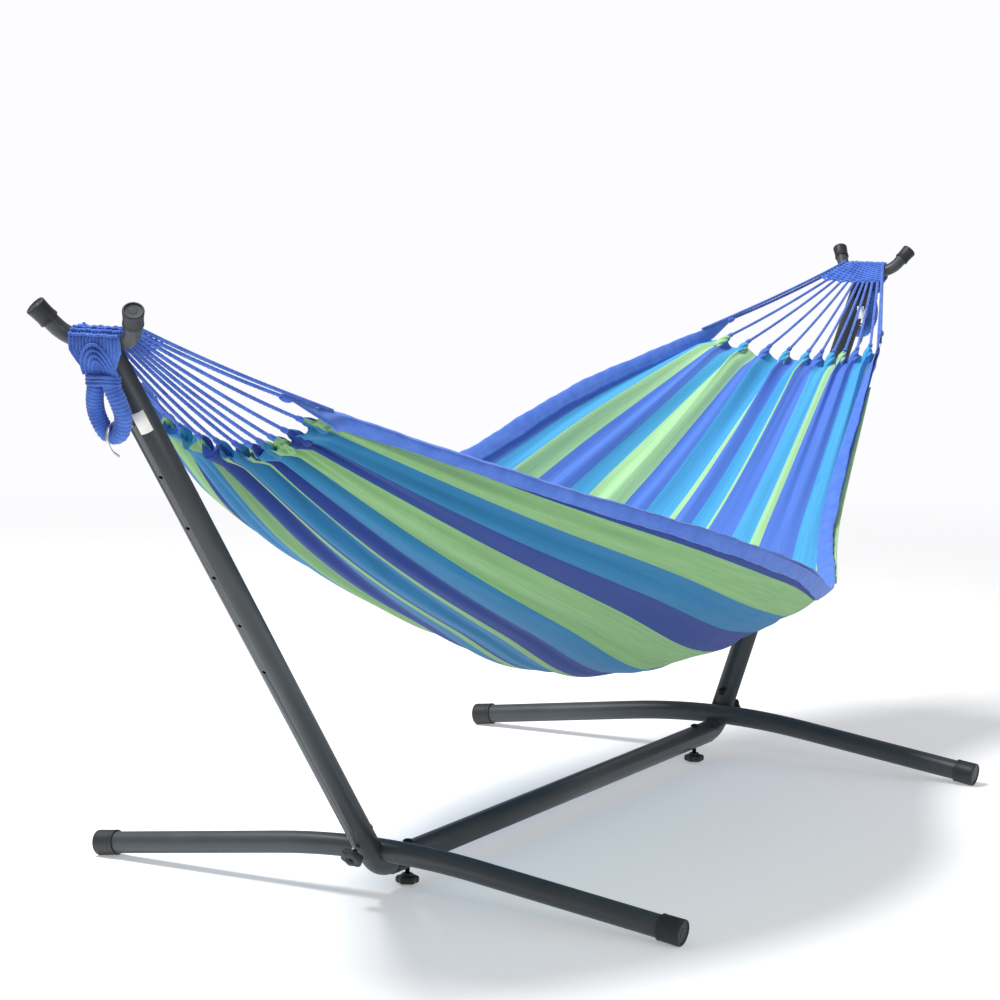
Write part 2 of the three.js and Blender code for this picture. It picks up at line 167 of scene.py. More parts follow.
soft_light("sky_light", (-1.1, 1.5, 4.3), (0, 0, 0.4), 1.6, 242)
soft_light("front_fill", (-3.6, -4.2, 2.6), (-0.4, 0, 0.6), 1.8, 42)
print("one sky light and one front fill")

# %% [markdown]
# ## Cotton cord
# The cords are twisted cotton, dyed royal blue: three strands laid round each other. The strands are
# real ridges in the mesh. The finish adds fine fibres along them and small changes of the dye, and
# cotton's soft bright edge, which the shader calls sheen.

# %% The cord's finish
mm = 0.001
cord_fibre = 1.2 * mm  # real cotton fibres are finer than this; drawn as coarse as they need to show


def cotton_cord_finish(name, light_dye, dark_dye, fibre):
    """Dyed cotton: matt, with fine fibres and a dye that took a little unevenly."""
    finish, shader = new_finish(name, Roughness=0.88, Sheen_Weight=0.25, Sheen_Roughness=0.5,
                                Specular_IOR_Level=0.2)
    surface = add_node(finish, "ShaderNodeTexCoord")
    fibres = add_node(finish, "ShaderNodeTexNoise",
                      {"Vector": surface.outputs["Object"], "Scale": 1 / fibre, "Detail": 3.0})
    dye = add_node(finish, "ShaderNodeTexNoise",
                   {"Vector": surface.outputs["Object"], "Scale": 1 / (22 * mm), "Detail": 2.0})
    both = add_node(finish, "ShaderNodeMath", {0: fibres.outputs["Fac"], 1: dye.outputs["Fac"]},
                    operation="ADD")
    share = add_node(finish, "ShaderNodeMapRange",
                     {"Value": both.outputs[0], "From Min": 0.75, "From Max": 1.25})
    colour = add_node(finish, "ShaderNodeMix",
                      {"Factor": share.outputs[0], 6: linear(dark_dye), 7: linear(light_dye)},
                      data_type="RGBA")
    link(finish, colour.outputs[2], shader, "Base Color")
    relief = add_node(finish, "ShaderNodeBump",
                      {"Height": fibres.outputs["Fac"], "Strength": 0.5, "Distance": 0.5 * mm})
    link(finish, relief.outputs[0], shader, "Normal")
    return finish


royal_cord = cotton_cord_finish("twisted_cotton_royal", "#5a83dc", "#3c60b8", cord_fibre)
print("cord finish:", royal_cord.name)

# %% [markdown]
# ## Sweeping a section along a path
# Cords, wire and rolled hems are all one section carried along a path. The section turns with the path
# but doesn't spin, unless it is twisted on purpose, as a laid cord is. The mesh carries a map with its
# length in metres one way and its share of the way round the other.


# %% The sweep
def unit(vectors):
    """The same directions, each one metre long."""
    return vectors / np.linalg.norm(vectors, axis=-1, keepdims=True)


def carried_sides(path, side_hint):
    """At each point of a path: two directions square to it, carried along without spinning."""
    along = unit(np.gradient(path, axis=0))
    side = np.zeros_like(path)
    side[0] = unit(np.asarray(side_hint, float) - along[0] * np.dot(side_hint, along[0]))
    for i in range(1, len(path)):
        side[i] = unit(side[i - 1] - along[i] * np.dot(side[i - 1], along[i]))
    return side, np.cross(along, side)


def distances(path):
    """How far along a path each of its points lies."""
    return np.concatenate([[0], np.cumsum(np.linalg.norm(np.diff(path, axis=0), axis=1))])


def in_scene(name, mesh):
    """A new piece with this mesh, standing at the origin."""
    piece = bpy.data.objects.new(name, mesh)
    bpy.context.scene.collection.objects.link(piece)
    return piece


def mesh_of_rings(name, rings, along):
    """A closed skin over rings of points, all with the same number, with flat ends."""
    count, sides = rings.shape[:2]
    ring, spot = np.meshgrid(np.arange(count - 1), np.arange(sides), indexing="ij")
    after = (spot + 1) % sides
    quads = np.stack([ring * sides + spot, ring * sides + after, (ring + 1) * sides + after,
                      (ring + 1) * sides + spot], -1).reshape(-1, 4)
    last = (count - 1) * sides
    faces = quads.tolist() + [list(range(sides - 1, -1, -1)), list(range(last, last + sides))]
    made = bpy.data.meshes.new(name)
    made.from_pydata(rings.reshape(-1, 3).tolist(), [], faces)
    here, onward = along[ring], along[ring + 1]
    corners = [(here, spot), (here, spot + 1), (onward, spot + 1), (onward, spot)]
    wraps = np.stack([np.stack([far, way / sides], -1) for far, way in corners], -2).reshape(-1, 2)
    flat_ends = np.tile([0.0, 0.5], (2 * sides, 1))
    made.uv_layers.new(name="Along").data.foreach_set("uv", np.concatenate([wraps, flat_ends]).ravel())
    made.polygons.foreach_set("use_smooth", [True] * (len(faces) - 2) + [False, False])
    return in_scene(name, made)


def sweep(name, path, radius, sides=12, lobes=0, lobe_depth=0.0, lay=0.0, side_hint=(0, 0, 1),
          ridge=0.0, ridge_pitch=1.0, taper=None):
    """A rod along a path. Lobes twisted at a lay make a laid cord; ridges at a pitch make wrapping."""
    path = np.asarray(path, float)
    side, up = carried_sides(path, side_hint)
    along = distances(path)
    angle = 2 * np.pi * np.arange(sides)[None, :] / sides
    turn = 2 * np.pi * along[:, None] / lay if lay else 0.0
    size = radius * (1 - lobe_depth + lobe_depth * np.cos(lobes * (angle - turn)))
    if ridge:
        wound = np.abs(np.cos(np.pi * along[:, None] / ridge_pitch + angle / 2)) ** 0.6
        size = size - ridge + 2 * ridge * wound
    if taper is not None:
        size = size * np.asarray(taper)[:, None]
    rings = path[:, None] + side[:, None] * (size * np.cos(angle))[..., None] \
        + up[:, None] * (size * np.sin(angle))[..., None]
    return mesh_of_rings(name, rings, along)


def through(stations, t):
    """Runs smoothly through evenly spaced stations, for t from 0 to 1."""
    v = np.vstack([2 * stations[0] - stations[1], stations, 2 * stations[-1] - stations[-2]])
    last = len(stations) - 1
    i = np.clip(np.floor(t * last).astype(int), 0, last - 1)
    f = (t * last - i)[..., None]
    a, b, c, d = v[i], v[i + 1], v[i + 2], v[i + 3]
    return b + 0.5 * f * (c - a + f * (2 * a - 5 * b + 4 * c - d + f * (3 * (b - c) + d - a)))


def smooth_path(points, step):
    """An evenly stepped smooth curve through a few points."""
    points = np.asarray(points, float)
    fine = through(points, np.linspace(0, 1, 24 * (len(points) - 1) + 1))
    along = distances(fine)
    even = np.linspace(0, along[-1], max(3, int(along[-1] / step)))
    return np.stack([np.interp(even, along, fine[:, k]) for k in range(3)], -1)


def select_only(*pieces):
    """Selects these pieces alone, so that an operator acts on nothing else."""
    bpy.ops.object.select_all(action="DESELECT")
    for piece in pieces:
        piece.select_set(True)
    bpy.context.view_layer.objects.active = pieces[0]


def join(pieces, name):
    """Joins several meshes into one piece."""
    select_only(*pieces)
    bpy.ops.object.join()
    pieces[0].name = pieces[0].data.name = name
    bpy.ops.object.select_all(action="DESELECT")
    return pieces[0]


def dress(piece, finish, body):
    """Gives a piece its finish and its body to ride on."""
    piece.data.materials.clear()
    piece.data.materials.append(finish)
    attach(piece, body)
    return piece


print("sweep ready")

# %% [markdown]
# ## Where things are
# The stand is the same at both ends: the left end is the right end turned half a turn. So every place is
# worked out once for the right end, and turned for the left. The cradle is the horned tube that the
# cords hang from.

# %% Places on the stand
beam_height = 52 * mm
arm_angle = math.radians(49.65)
arm_up = np.array([math.cos(arm_angle), 0, math.sin(arm_angle)])
arm_out = np.array([math.sin(arm_angle), 0, -math.cos(arm_angle)])
arm_length = 1254.5 * mm  # from where the beam's and the arm's lines cross
corner = np.array([674.5 * mm, 0, beam_height])  # that crossing, at the right end
cradle_middle = corner + arm_up * (arm_length - 63 * mm)
hook_hole = corner + arm_up * (arm_length - 205 * mm)
arm_bolt = corner + arm_up * 78 * mm
beam_bolt = corner - np.array([98 * mm, 0, 0])
ends = {"left": -1, "right": 1}


def at_end(points, end):
    """Points of the right end, turned half a turn for the left one."""
    return np.asarray(points, float) * np.array([end, end, 1])


def facing_name(side_sign, end):
    """Which way a part faces that sits on this side of the right end, once it is at its own end."""
    return "front" if side_sign * end < 0 else "back"


print("cradle middle", cradle_middle.round(3))

# %% [markdown]
# ## The bed's shape
# The bed is a trough between two hems and a keel, its lowest line. Each is a smooth line through seven
# stations, from the left end to the right. Across the trough the cloth hangs in an arc.

# %% The trough
# Each station: its place across the stand and its height, in millimetres.
front_hem = np.array([[-145, 850], [-355, 715], [-470, 610], [-480, 515], [-390, 425], [-250, 505],
                      [-195, 830]]) * mm
back_hem = np.array([[145, 850], [290, 675], [385, 580], [420, 570], [400, 625], [330, 740],
                     [195, 845]]) * mm
keel = np.array([[-40, 790], [-50, 580], [-45, 415], [-25, 285], [-5, 320], [-15, 500], [-50, 805]]) * mm
keel_ends = np.array([-1152, 1005]) * mm
hem_ends = np.array([-1112, 1034]) * mm
wall_angle = math.radians(56)  # how steep the arc is at the hems


def tie_end(end):
    """The bed's own measure of its length, t, at this end."""
    return 0.0 if end < 0 else 1.0


def bed_point(t, place):
    """A point of the trough: t from 0 at the left end to 1, place from -1 at the front hem to 1."""
    t, place = np.broadcast_arrays(np.asarray(t, float), np.asarray(place, float))
    hem = np.where((place < 0)[..., None], through(front_hem, t), through(back_hem, t))
    low = through(keel, t)
    turn = np.abs(place) * wall_angle
    out = np.sin(turn) / math.sin(wall_angle)
    up = (1 - np.cos(turn)) / (1 - math.cos(wall_angle))
    low_x = keel_ends[0] + t * (keel_ends[1] - keel_ends[0])
    hem_x = hem_ends[0] + t * (hem_ends[1] - hem_ends[0])
    return np.stack([low_x + (hem_x - low_x) * up, low[..., 0] + (hem[..., 0] - low[..., 0]) * out,
                     low[..., 1] + (hem[..., 1] - low[..., 1]) * up], -1)


print("lowest point of the bed", bed_point(np.linspace(0, 1, 99), 0)[:, 2].min().round(3), "m")

# %% [markdown]
# ## The cords
# Twelve cords at each end fan out from the harness on the cradle to the end of the cloth. They carry the
# whole weight, so they hang almost straight. The outermost ones hold the hems and are doubled. Each is
# a laid cord of three strands, 6 mm thick.

# %% Cord routes and cords
cord_thickness = 6 * mm
cord_lay = 27 * mm  # length of one full turn of the three strands
# Where each cord is tied across the cloth's end, from -1 at the front hem to 1 at the back hem.
cord_places = [-1, -0.82, -0.62, -0.45, -0.3, -0.14, 0.02, 0.18, 0.35, 0.55, 0.75, 1]
fan_start_in, fan_start_up, fan_half_width = 20 * mm, 14 * mm, 44 * mm
cord_sag = 12 * mm
tie_gap = 5 * mm


def cord_route(end, place, shift=0.0):
    """The line of one cord, from the harness to its tie on the cloth."""
    start = np.array([end * (cradle_middle[0] - fan_start_in), place * fan_half_width,
                      cradle_middle[2] + fan_start_up])
    tie = bed_point(tie_end(end), place) + shift
    tie = tie + unit(start - tie) * tie_gap
    middle = (start + tie) / 2 - np.array([0, 0, cord_sag])
    s = np.linspace(0, 1, 150)[:, None]
    return (1 - s) ** 2 * start + 2 * s * (1 - s) * middle + s ** 2 * tie


def laid_cord(name, route, thickness, lay, sides=10, depth=0.08, **shape):
    """A cord of three strands laid round each other."""
    return sweep(name, route, thickness / 2, sides, lobes=3, lobe_depth=depth, lay=lay, **shape)


def fan_cord(name, route):
    """A cord of a fan, with a few more sides than the short ones of the weaving."""
    piece = laid_cord(name, route, cord_thickness, cord_lay, sides=12, depth=0.07)
    return dress(piece, royal_cord, "hammock")


cords = {}
for side_name, end in ends.items():
    for number, place in enumerate(cord_places, 1):
        name = f"cord_{side_name}_{number:02d}"
        route = cord_route(end, place)
        piece = fan_cord(name + "_laid", route)
        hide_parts(name)
        cords[name] = (piece, route)
# The hems' second cords lie on the first ones, and are tied a little further along the hem.
for side_name, end in ends.items():
    for place, edge_name in ((-1, "front"), (1, "back")):
        along_hem = bed_point(abs(tie_end(end) - 0.012), place) - bed_point(tie_end(end), place)
        route = cord_route(end, place, shift=along_hem)
        share = np.linspace(0, 1, len(route))[:, None]
        route = route + np.array([0, 0, 1.1 * cord_thickness]) * (1 - 0.4 * share ** 6)
        piece = fan_cord(f"hem_cord_{side_name}_{edge_name}", route)
        cords[piece.name] = (piece, route)
lengths = {s: [distances(r)[-1] for n, (_, r) in cords.items() if s in n] for s in ends}
print("cord lengths, m:", {s: (round(min(v), 3), round(max(v), 3)) for s, v in lengths.items()})

# %% [markdown]
# ## The harness
# At each end the cords are knotted and woven into a harness that lies over the cradle. On the arm's
# outer side it narrows into the hanging loop. It is built as it is worked: cords side by side over the
# tube, rows woven across them at the top, and arches of cord laid round the middle below.

# %% Harness
harness_cord = 5.2 * mm
harness_lay = 14 * mm
harness_body = 16.1 * mm  # from the tube's centre line to the middle of the first layer of cords
harness_half_width = 41 * mm
flap_long = 53 * mm
neck_height = -47 * mm  # where the arches stand, below the tube's centre


def harness_line(lean, lift):
    """One cord over the tube: lean is its share of the half width, lift its height off the first layer."""
    reach = harness_body + lift
    line = [[reach * math.cos(angle), lean * harness_half_width, reach * math.sin(angle)]
            for angle in np.radians(np.linspace(134, 0, 22))]
    for share in np.linspace(0.08, 1, 18):
        inward = max(0.0, share - 0.25) / 0.75
        line.append([reach * (1 - share ** 1.6) - 3.5 * mm * share ** 1.6,
                     lean * (harness_half_width - 24 * mm * inward), -flap_long * share])
    return np.array(line)


def harness(side_name, end):
    """The woven harness of one end."""
    strands = []

    def strand(line, thickness, lay=harness_lay, side_hint=(0, 0, 1)):
        strands.append(laid_cord(f"strand_{len(strands)}", at_end(line + cradle_middle, end), thickness, lay,
                                 side_hint=side_hint))

    for lean in np.linspace(-1, 1, 15):
        strand(harness_line(lean, 0.0), harness_cord + 1 * mm, 16 * mm, (0, 1, 0))
    crossing = np.linspace(-1, 1, 90)
    for i, angle in enumerate(np.radians([132, 112, 92, 72, 50, 27])):
        over = harness_body + 3.1 * mm + 0.7 * mm * np.cos(crossing * 7 * np.pi + i * np.pi)
        strand(np.stack([over * math.cos(angle), crossing * 42.5 * mm,
                         over * math.sin(angle) + 0.5 * mm * np.sin(9 * crossing + i)], -1),
               harness_cord - 0.6 * mm)
    outer = harness_line(0, 3.6 * mm)
    turn = np.linspace(-1, 1, 60) * np.pi / 2
    for half in np.array([10, 16, 22, 28]) * mm:
        height = neck_height + (half * 1.25 + 8 * mm) * np.cos(turn)
        flap_out = np.interp(-height, -outer[20:, 2], outer[20:, 0])
        strand(np.stack([flap_out + 0.4 * mm, half * np.sin(turn), height], -1), harness_cord)
    # Three turns bind the neck, where the harness becomes the loop's two strands.
    around = np.linspace(0, 2 * np.pi, 72)
    for i, down in enumerate((50, 55, 60)):
        strand(np.stack([(-5 - 0.25 * i) * mm + 14.5 * mm * np.cos(around), 26 * mm * np.sin(around),
                         -down * mm + 0.6 * mm * np.sin(3 * around)], -1), harness_cord)
    piece = dress(join(strands, f"harness_{side_name}_woven"), royal_cord, "stand")
    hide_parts(f"harness_{side_name}")
    return piece


print("harness cord", round(harness_cord / mm, 1), "mm thick, one turn in", round(harness_lay / mm), "mm")

# %% [markdown]
# ## The hanging loop
# Below its neck the harness ends in a loop of thick rope, wrapped round and round with cord. The wire
# hook in the arm holds it. The wrapping is ridges in the swept mesh, one for each turn.

# %% Harnesses and hanging loops
# Half the loop's route: outwards from the arm, across it and down, in millimetres from the cradle.
half_loop = [[-3, 11, -47], [-7, 14, -65], [-13, 20, -84], [-22, 22, -106], [-29, 13, -128]]
loop_route = np.array(half_loop + [[-31, 0, -134]] + [[o, -y, u] for o, y, u in reversed(half_loop)]) * mm
loop_line = smooth_path(loop_route, 0.9 * mm) + cradle_middle
loop_thickness = 24.4 * mm
for side_name, end in ends.items():
    woven = harness(side_name, end)
    loop = sweep(f"hanging_loop_{side_name}_wrapped", at_end(loop_line, end), loop_thickness / 2, 20,
                 ridge=0.75 * mm, ridge_pitch=5.5 * mm)
    dress(loop, royal_cord, "stand")
    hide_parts(f"hanging_loop_{side_name}")
    print(woven.name, len(woven.data.polygons), "faces;", loop.name, len(loop.data.polygons), "faces")

# %% [markdown]
# ## The woven web of each fan
# Close to the cradle the cords of a fan are still woven together. Short cords cross the fan there, over
# one cord and under the next, and pull it into a web.

# %% Web rows
web_cord = 5.4 * mm
row_step = 5.2 * mm
weave_lift = 5.4 * mm
web_reach = {"left": 58 * mm, "right": 92 * mm}
for side_name in ends:
    routes = [cords[f"cord_{side_name}_{n:02d}"][1] for n in range(1, len(cord_places) + 1)]
    rows = []
    for row_number, down_cord in enumerate(np.arange(4 * mm, web_reach[side_name], row_step)):
        points = []
        for n, route in enumerate(routes):
            along = distances(route)
            lift = weave_lift if (n + row_number) % 2 else 0.0
            points.append([np.interp(down_cord, along, route[:, k]) for k in range(3)] + np.array([0, 0, lift]))
        rows.append(laid_cord(f"web_{row_number}", smooth_path(points, 2.2 * mm), web_cord, harness_lay))
    dress(join(rows, f"fan_web_{side_name}"), royal_cord, "hammock")

# %% [markdown]
# ## Striped cotton
# The cloth is woven in stripes along its length, from dyed warp threads: royal blue, sky blue and pale
# green. The outer face hangs in shade, and its stripes get darker, deeper dyes: painted shade.
# Each stripe is set by its width in millimetres on the flat cloth.

# %% The cloth's stripes and finish
royal, sky, green = "royal", "sky", "green"
# Each stripe: its dye, how much of it shows at the left half, and at the right half, in millimetres.
# The rest of a stripe is tucked into the folds there.
stripes = [
    (royal, 43, 66), (green, 69, 4), (sky, 68, 110), (royal, 66, 142), (green, 110, 42), (sky, 74, 82),
    (royal, 50, 96), (green, 20, 9), (sky, 77, 47), (royal, 6, 54), (green, 19, 15), (sky, 32, 60),
    (royal, 105, 55), (green, 22, 82), (sky, 130, 34), (royal, 52, 60), (green, 48, 48), (sky, 30, 26),
    (royal, 50, 50),
]
inner_dyes = {royal: "#5379cf", sky: "#4ca3d8", green: "#a4d19c"}
# The outer face hangs in shade: these darker dyes paint that shade into its colour.
painted_shade_dyes = {royal: "#2c4690", sky: "#337fb0", green: "#8dbb82"}
left_widths = np.array([s[1] for s in stripes], float)
right_widths = np.array([s[2] for s in stripes], float)
left_edges = np.concatenate([[0], np.cumsum(left_widths) / left_widths.sum()])
right_edges = np.concatenate([[0], np.cumsum(right_widths) / right_widths.sum()])
cloth_edges = (left_edges + right_edges) / 2  # where each stripe lies on the flat cloth
thread = 2.6 * mm  # real threads are 0.7 mm apart; drawn as coarse as they need to show


def striped_cotton_finish(name, dyes):
    """Plain-woven cotton: matt, with cotton's faint soft sheen, in one set of dyes: the cloth's own, or the
    darker set with painted shade.
    """
    finish, shader = new_finish(name, Roughness=0.92, Sheen_Weight=0.12, Sheen_Roughness=0.5,
                                Specular_IOR_Level=0.15)
    flat = add_node(finish, "ShaderNodeUVMap", uv_map="Cloth")
    parts = add_node(finish, "ShaderNodeSeparateXYZ", {0: flat.outputs[0]})
    ramp = add_node(finish, "ShaderNodeValToRGB", {"Fac": parts.outputs["Y"]})
    ramp.color_ramp.interpolation = "CONSTANT"
    marks = ramp.color_ramp.elements
    while len(marks) < len(stripes):
        marks.new(0.5)
    for mark, edge, stripe in zip(marks, cloth_edges, stripes):
        mark.position = edge
        mark.color = linear(dyes[stripe[0]])
    # Each warp thread took the dye a little differently, so fine streaks run along the cloth.
    stretched = add_node(finish, "ShaderNodeMapping",
                         {"Vector": flat.outputs[0], "Scale": (1 / (180 * mm), 1.2 / (2 * thread), 1.0)})
    streaks = add_node(finish, "ShaderNodeTexNoise",
                       {"Vector": stretched.outputs[0], "Scale": 1.0, "Detail": 3.0})
    streak_share = add_node(finish, "ShaderNodeMapRange",
                            {"Value": streaks.outputs["Fac"], "From Min": 0.25, "From Max": 0.75,
                             "To Min": 0.86, "To Max": 1.1})
    streaked = add_node(finish, "ShaderNodeMix",
                        {"Factor": 1.0, 6: ramp.outputs["Color"], 7: streak_share.outputs[0]},
                        data_type="RGBA", blend_type="MULTIPLY")
    link(finish, streaked.outputs[2], shader, "Base Color")
    # Plain weave: the threads rise and fall in turn both ways.
    warp = add_node(finish, "ShaderNodeMath", {0: parts.outputs["X"], 1: math.pi / thread},
                    operation="MULTIPLY")
    weft = add_node(finish, "ShaderNodeMath", {0: parts.outputs["Y"], 1: 1.15 * math.pi / thread},
                    operation="MULTIPLY")
    warp_wave = add_node(finish, "ShaderNodeMath", {0: warp.outputs[0]}, operation="SINE")
    weft_wave = add_node(finish, "ShaderNodeMath", {0: weft.outputs[0]}, operation="SINE")
    weave = add_node(finish, "ShaderNodeMath", {0: warp_wave.outputs[0], 1: weft_wave.outputs[0]},
                     operation="MULTIPLY")
    relief = add_node(finish, "ShaderNodeBump",
                      {"Height": weave.outputs[0], "Strength": 0.35, "Distance": 0.4 * mm})
    link(finish, relief.outputs[0], shader, "Normal")
    return finish


inner_cotton = striped_cotton_finish("striped_cotton_warp_face", inner_dyes)
# The outer face's copy of the cotton carries painted shade in its darker dyes.
painted_shade_cotton = striped_cotton_finish("striped_cotton_weft_face", painted_shade_dyes)
print(len(stripes), "stripes on", round(left_widths.sum()), "mm of cloth")

# %% [markdown]
# ## The cloth
# The cloth hangs as a trough. At each end it is drawn together on twelve ties, so the cloth between two
# ties is bunched into a fold and its edge hangs back in a small arc. The folds run out along the cloth
# and fade towards the middle. It is made as a fine sheet of points that are moved in code, because the
# trough's shape is known and only the folds are free.

# %% The cloth's folds
cloth_long, cloth_wide = 2.44, 1.15
tie_places = np.array(cord_places)
# Each crease: its place at the left and the right end, counted in gaps between ties, its drift in gaps
# a metre, its depth and half width in millimetres, and how far it reaches in metres.
creases = [
    (0.55, 1.30, 0.1, 24, 9, 0.60), (1.50, 2.45, -0.1, 22, 8, 0.75), (2.62, 3.40, 0.2, 25, 9, 0.60),
    (3.70, 4.42, -0.2, 22, 8, 0.90), (4.50, 5.55, 0.1, 24, 9, 0.55), (5.58, 6.45, -0.1, 25, 8, 0.80),
    (6.60, 7.52, 0.2, 22, 8, 0.60), (7.70, 8.40, -0.1, 25, 9, 0.90), (8.72, 9.35, 0.1, 22, 8, 0.70),
    (9.60, 10.30, -0.1, 19, 8, 0.60),
]


def folded_cloth(t, place):
    """Points of the hanging cloth with its folds, and at each the direction towards the sitter."""
    from_left, from_right = t * cloth_long, (1 - t) * cloth_long
    near = np.minimum(from_left, from_right)
    gap = np.clip(np.searchsorted(tie_places, place, side="right") - 1, 0, len(tie_places) - 2)
    width = tie_places[gap + 1] - tie_places[gap]
    share = np.clip((place - tie_places[gap]) / width, 0, 1)
    gather = np.exp(-near / (90 * mm))
    pulled = place - width * 0.72 * np.sin(2 * np.pi * share) / (2 * np.pi) * gather
    hang_back = 7 * mm / cloth_long * np.sin(np.pi * share) ** 0.8 * np.exp(-near / (30 * mm))
    t_back = np.clip(t + np.where(t < 0.5, hang_back, -hang_back), 0, 1)
    base = bed_point(t_back, pulled)
    step = 0.004
    t_after, t_before = np.clip(t_back + step, 0, 1), np.clip(t_back - step, 0, 1)
    along = bed_point(t_after, pulled) - bed_point(t_before, pulled)
    beyond, before = np.clip(pulled + step, -1, 1), np.clip(pulled - step, -1, 1)
    across = bed_point(t_back, beyond) - bed_point(t_back, before)
    inward = unit(np.cross(along, across))
    # The folds: a bulge between each pair of ties, and creases that wander out along the cloth.
    bulge = 16 * mm * np.sin(np.pi * share) ** 2 * np.exp(-near / (170 * mm))
    run = (place + 1) / 2 * (len(tie_places) - 1)
    left = t < 0.5
    gap_wide = np.linalg.norm(across, axis=-1) / (beyond - before) * 2 / (len(tie_places) - 1)
    offset = -bulge - 8 * mm * np.exp(-near / (700 * mm))
    for where_left, where_right, drift, depth, wide, reach in creases:
        middle = np.where(left, where_left, where_right) + drift * near
        across_crease = (run - middle) * gap_wide / (wide * mm)
        depth_here = depth * mm * np.exp(-near / reach) * np.clip(near / (60 * mm), 0.3, 1)
        # Steep on one side and easy on the other, as a fold that lies over.
        easy = np.where(across_crease > 0, 1.0, 3.2)
        offset = offset + depth_here * np.exp(-(across_crease / easy) ** 2)
    # Fine pleats start at the ties and die out over a hand's width.
    pleats = np.sin(4 * np.pi * run + 1.5 * np.sin(2.3 * run))
    offset = offset + 3.4 * mm * pleats * np.exp(-near / (140 * mm))
    slack = 2.6 * mm * np.sin(5 * run + 9 * t) * np.sin(np.pi * t) ** 2
    hem_calm = np.clip((1 - np.abs(place)) / 0.06, 0, 1)
    offset = (offset + slack) * (0.25 + 0.75 * hem_calm)
    return base + inward * offset[..., None], inward


def cloth_share(t, place):
    """Where a point lies across the flat cloth: stripes are tucked into folds differently at each end."""
    at_left = np.interp((place + 1) / 2, left_edges, cloth_edges)
    at_right = np.interp((place + 1) / 2, right_edges, cloth_edges)
    blend = np.clip((t - 0.56) / 0.26, 0, 1)
    blend = blend * blend * (3 - 2 * blend)
    return at_left * (1 - blend) + at_right * blend


print(len(creases), "creases")

# %% [markdown]
# The folds become a mesh by laying a grid of points over the trough, closer together at the two ends
# where the folds are sharp. The sheet is closed: two faces 1.4 mm apart and an edge round them. Its map
# holds the length along the cloth in metres one way and the share of its width the other.

# %% The cloth's sheet
cloth_thickness = 1.4 * mm
rows, columns = 230, 205
x = np.linspace(0, 1, rows + 1)
t_grid, place_grid = np.meshgrid(0.55 * x + 0.45 * (0.5 - 0.5 * np.cos(np.pi * x)),
                                 np.linspace(-1, 1, columns + 1), indexing="ij")
sheet_points, sheet_inward = folded_cloth(t_grid, place_grid)
across_cloth = cloth_share(t_grid, place_grid)


def two_faced_sheet(name, points, inward, thickness, flat):
    """A thin closed sheet: material 0 on the face towards the sitter, 1 on the outer face and edges."""
    count = points.shape[:2]
    shape = np.concatenate([(points + inward * thickness / 2).reshape(-1, 3),
                            (points - inward * thickness / 2).reshape(-1, 3)])
    i, j = np.meshgrid(np.arange(count[0] - 1), np.arange(count[1] - 1), indexing="ij")
    a = (i * count[1] + j).reshape(-1)
    b, c, d = a + count[1], a + count[1] + 1, a + 1
    top = np.stack([a, b, c, d], -1)
    under = np.stack([a, d, c, b], -1) + count[0] * count[1]
    rim = np.concatenate([np.arange(count[1]), np.arange(1, count[0]) * count[1] + count[1] - 1,
                          (count[0] - 1) * count[1] + np.arange(count[1] - 2, -1, -1),
                          np.arange(count[0] - 2, 0, -1) * count[1]])
    beyond = np.roll(rim, -1)
    edge = np.stack([rim, beyond, beyond + count[0] * count[1], rim + count[0] * count[1]], -1)
    faces = np.concatenate([top, under, edge])
    made = bpy.data.meshes.new(name)
    made.from_pydata(shape.tolist(), [], faces.tolist())
    where = np.concatenate([flat.reshape(-1, 2)] * 2)
    made.uv_layers.new(name="Cloth").data.foreach_set("uv", where[faces].ravel())
    made.polygons.foreach_set("material_index", [0] * len(top) + [1] * (len(under) + len(edge)))
    made.polygons.foreach_set("use_smooth", [True] * len(faces))
    return in_scene(name, made)


flat_map = np.stack([t_grid * cloth_long, across_cloth], -1)
cloth = two_faced_sheet("bed_cloth", sheet_points, sheet_inward, cloth_thickness, flat_map)
cloth.data.materials.append(inner_cotton)
# The outer face and edges get the darker dyes, which paint shade into them.
cloth.data.materials.append(painted_shade_cotton)
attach(cloth, "hammock")
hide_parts("bed")
area = sum(p.area for p in cloth.data.polygons) / 2
print("cloth", len(cloth.data.polygons), "faces, area", round(area, 3), "square metres")

# %% [markdown]
# ## Hems
# The two long edges are doubled over and sewn into wide royal blue hems that hold the load. Near the ends
# they roll up, and in the middle they lie flatter. Each is one closed section carried along the edge,
# wider or flatter station by station, with the puckers that sewing leaves. At each end the hem runs on as
# a tab that narrows to its cord.

# %% The hems' section and tabs
hem_cotton = cotton_cord_finish("hem_cotton_royal", "#5a83dc", "#4a71cc", 1.6 * mm)
hem_sides = 24
section_angle = 2 * np.pi * np.arange(hem_sides) / hem_sides
section_across = np.sign(np.cos(section_angle)) * np.abs(np.cos(section_angle)) ** 0.7
section_up = np.sign(np.sin(section_angle)) * np.abs(np.sin(section_angle)) ** 0.8
# A sewn line is drawn in as a shallow groove along both faces.
section_up = section_up * (1 - 0.28 * np.exp(-((section_across + 0.55) / 0.12) ** 2))
tab_long, tab_end_wide, tab_end_deep = 62 * mm, 9 * mm, 7 * mm


def section_rings(centre, outward, inward, wide, deep, lean):
    """The hem's section at each point of a line, leaning over by an angle in radians."""
    cos, sin = np.cos(lean)[:, None], np.sin(lean)[:, None]
    turned_out, turned_in = outward * cos + inward * sin, inward * cos - outward * sin
    return (centre[:, None] + turned_out[:, None] * (wide[:, None] / 2 * section_across)[..., None]
            + turned_in[:, None] * (deep[:, None] / 2 * section_up)[..., None])


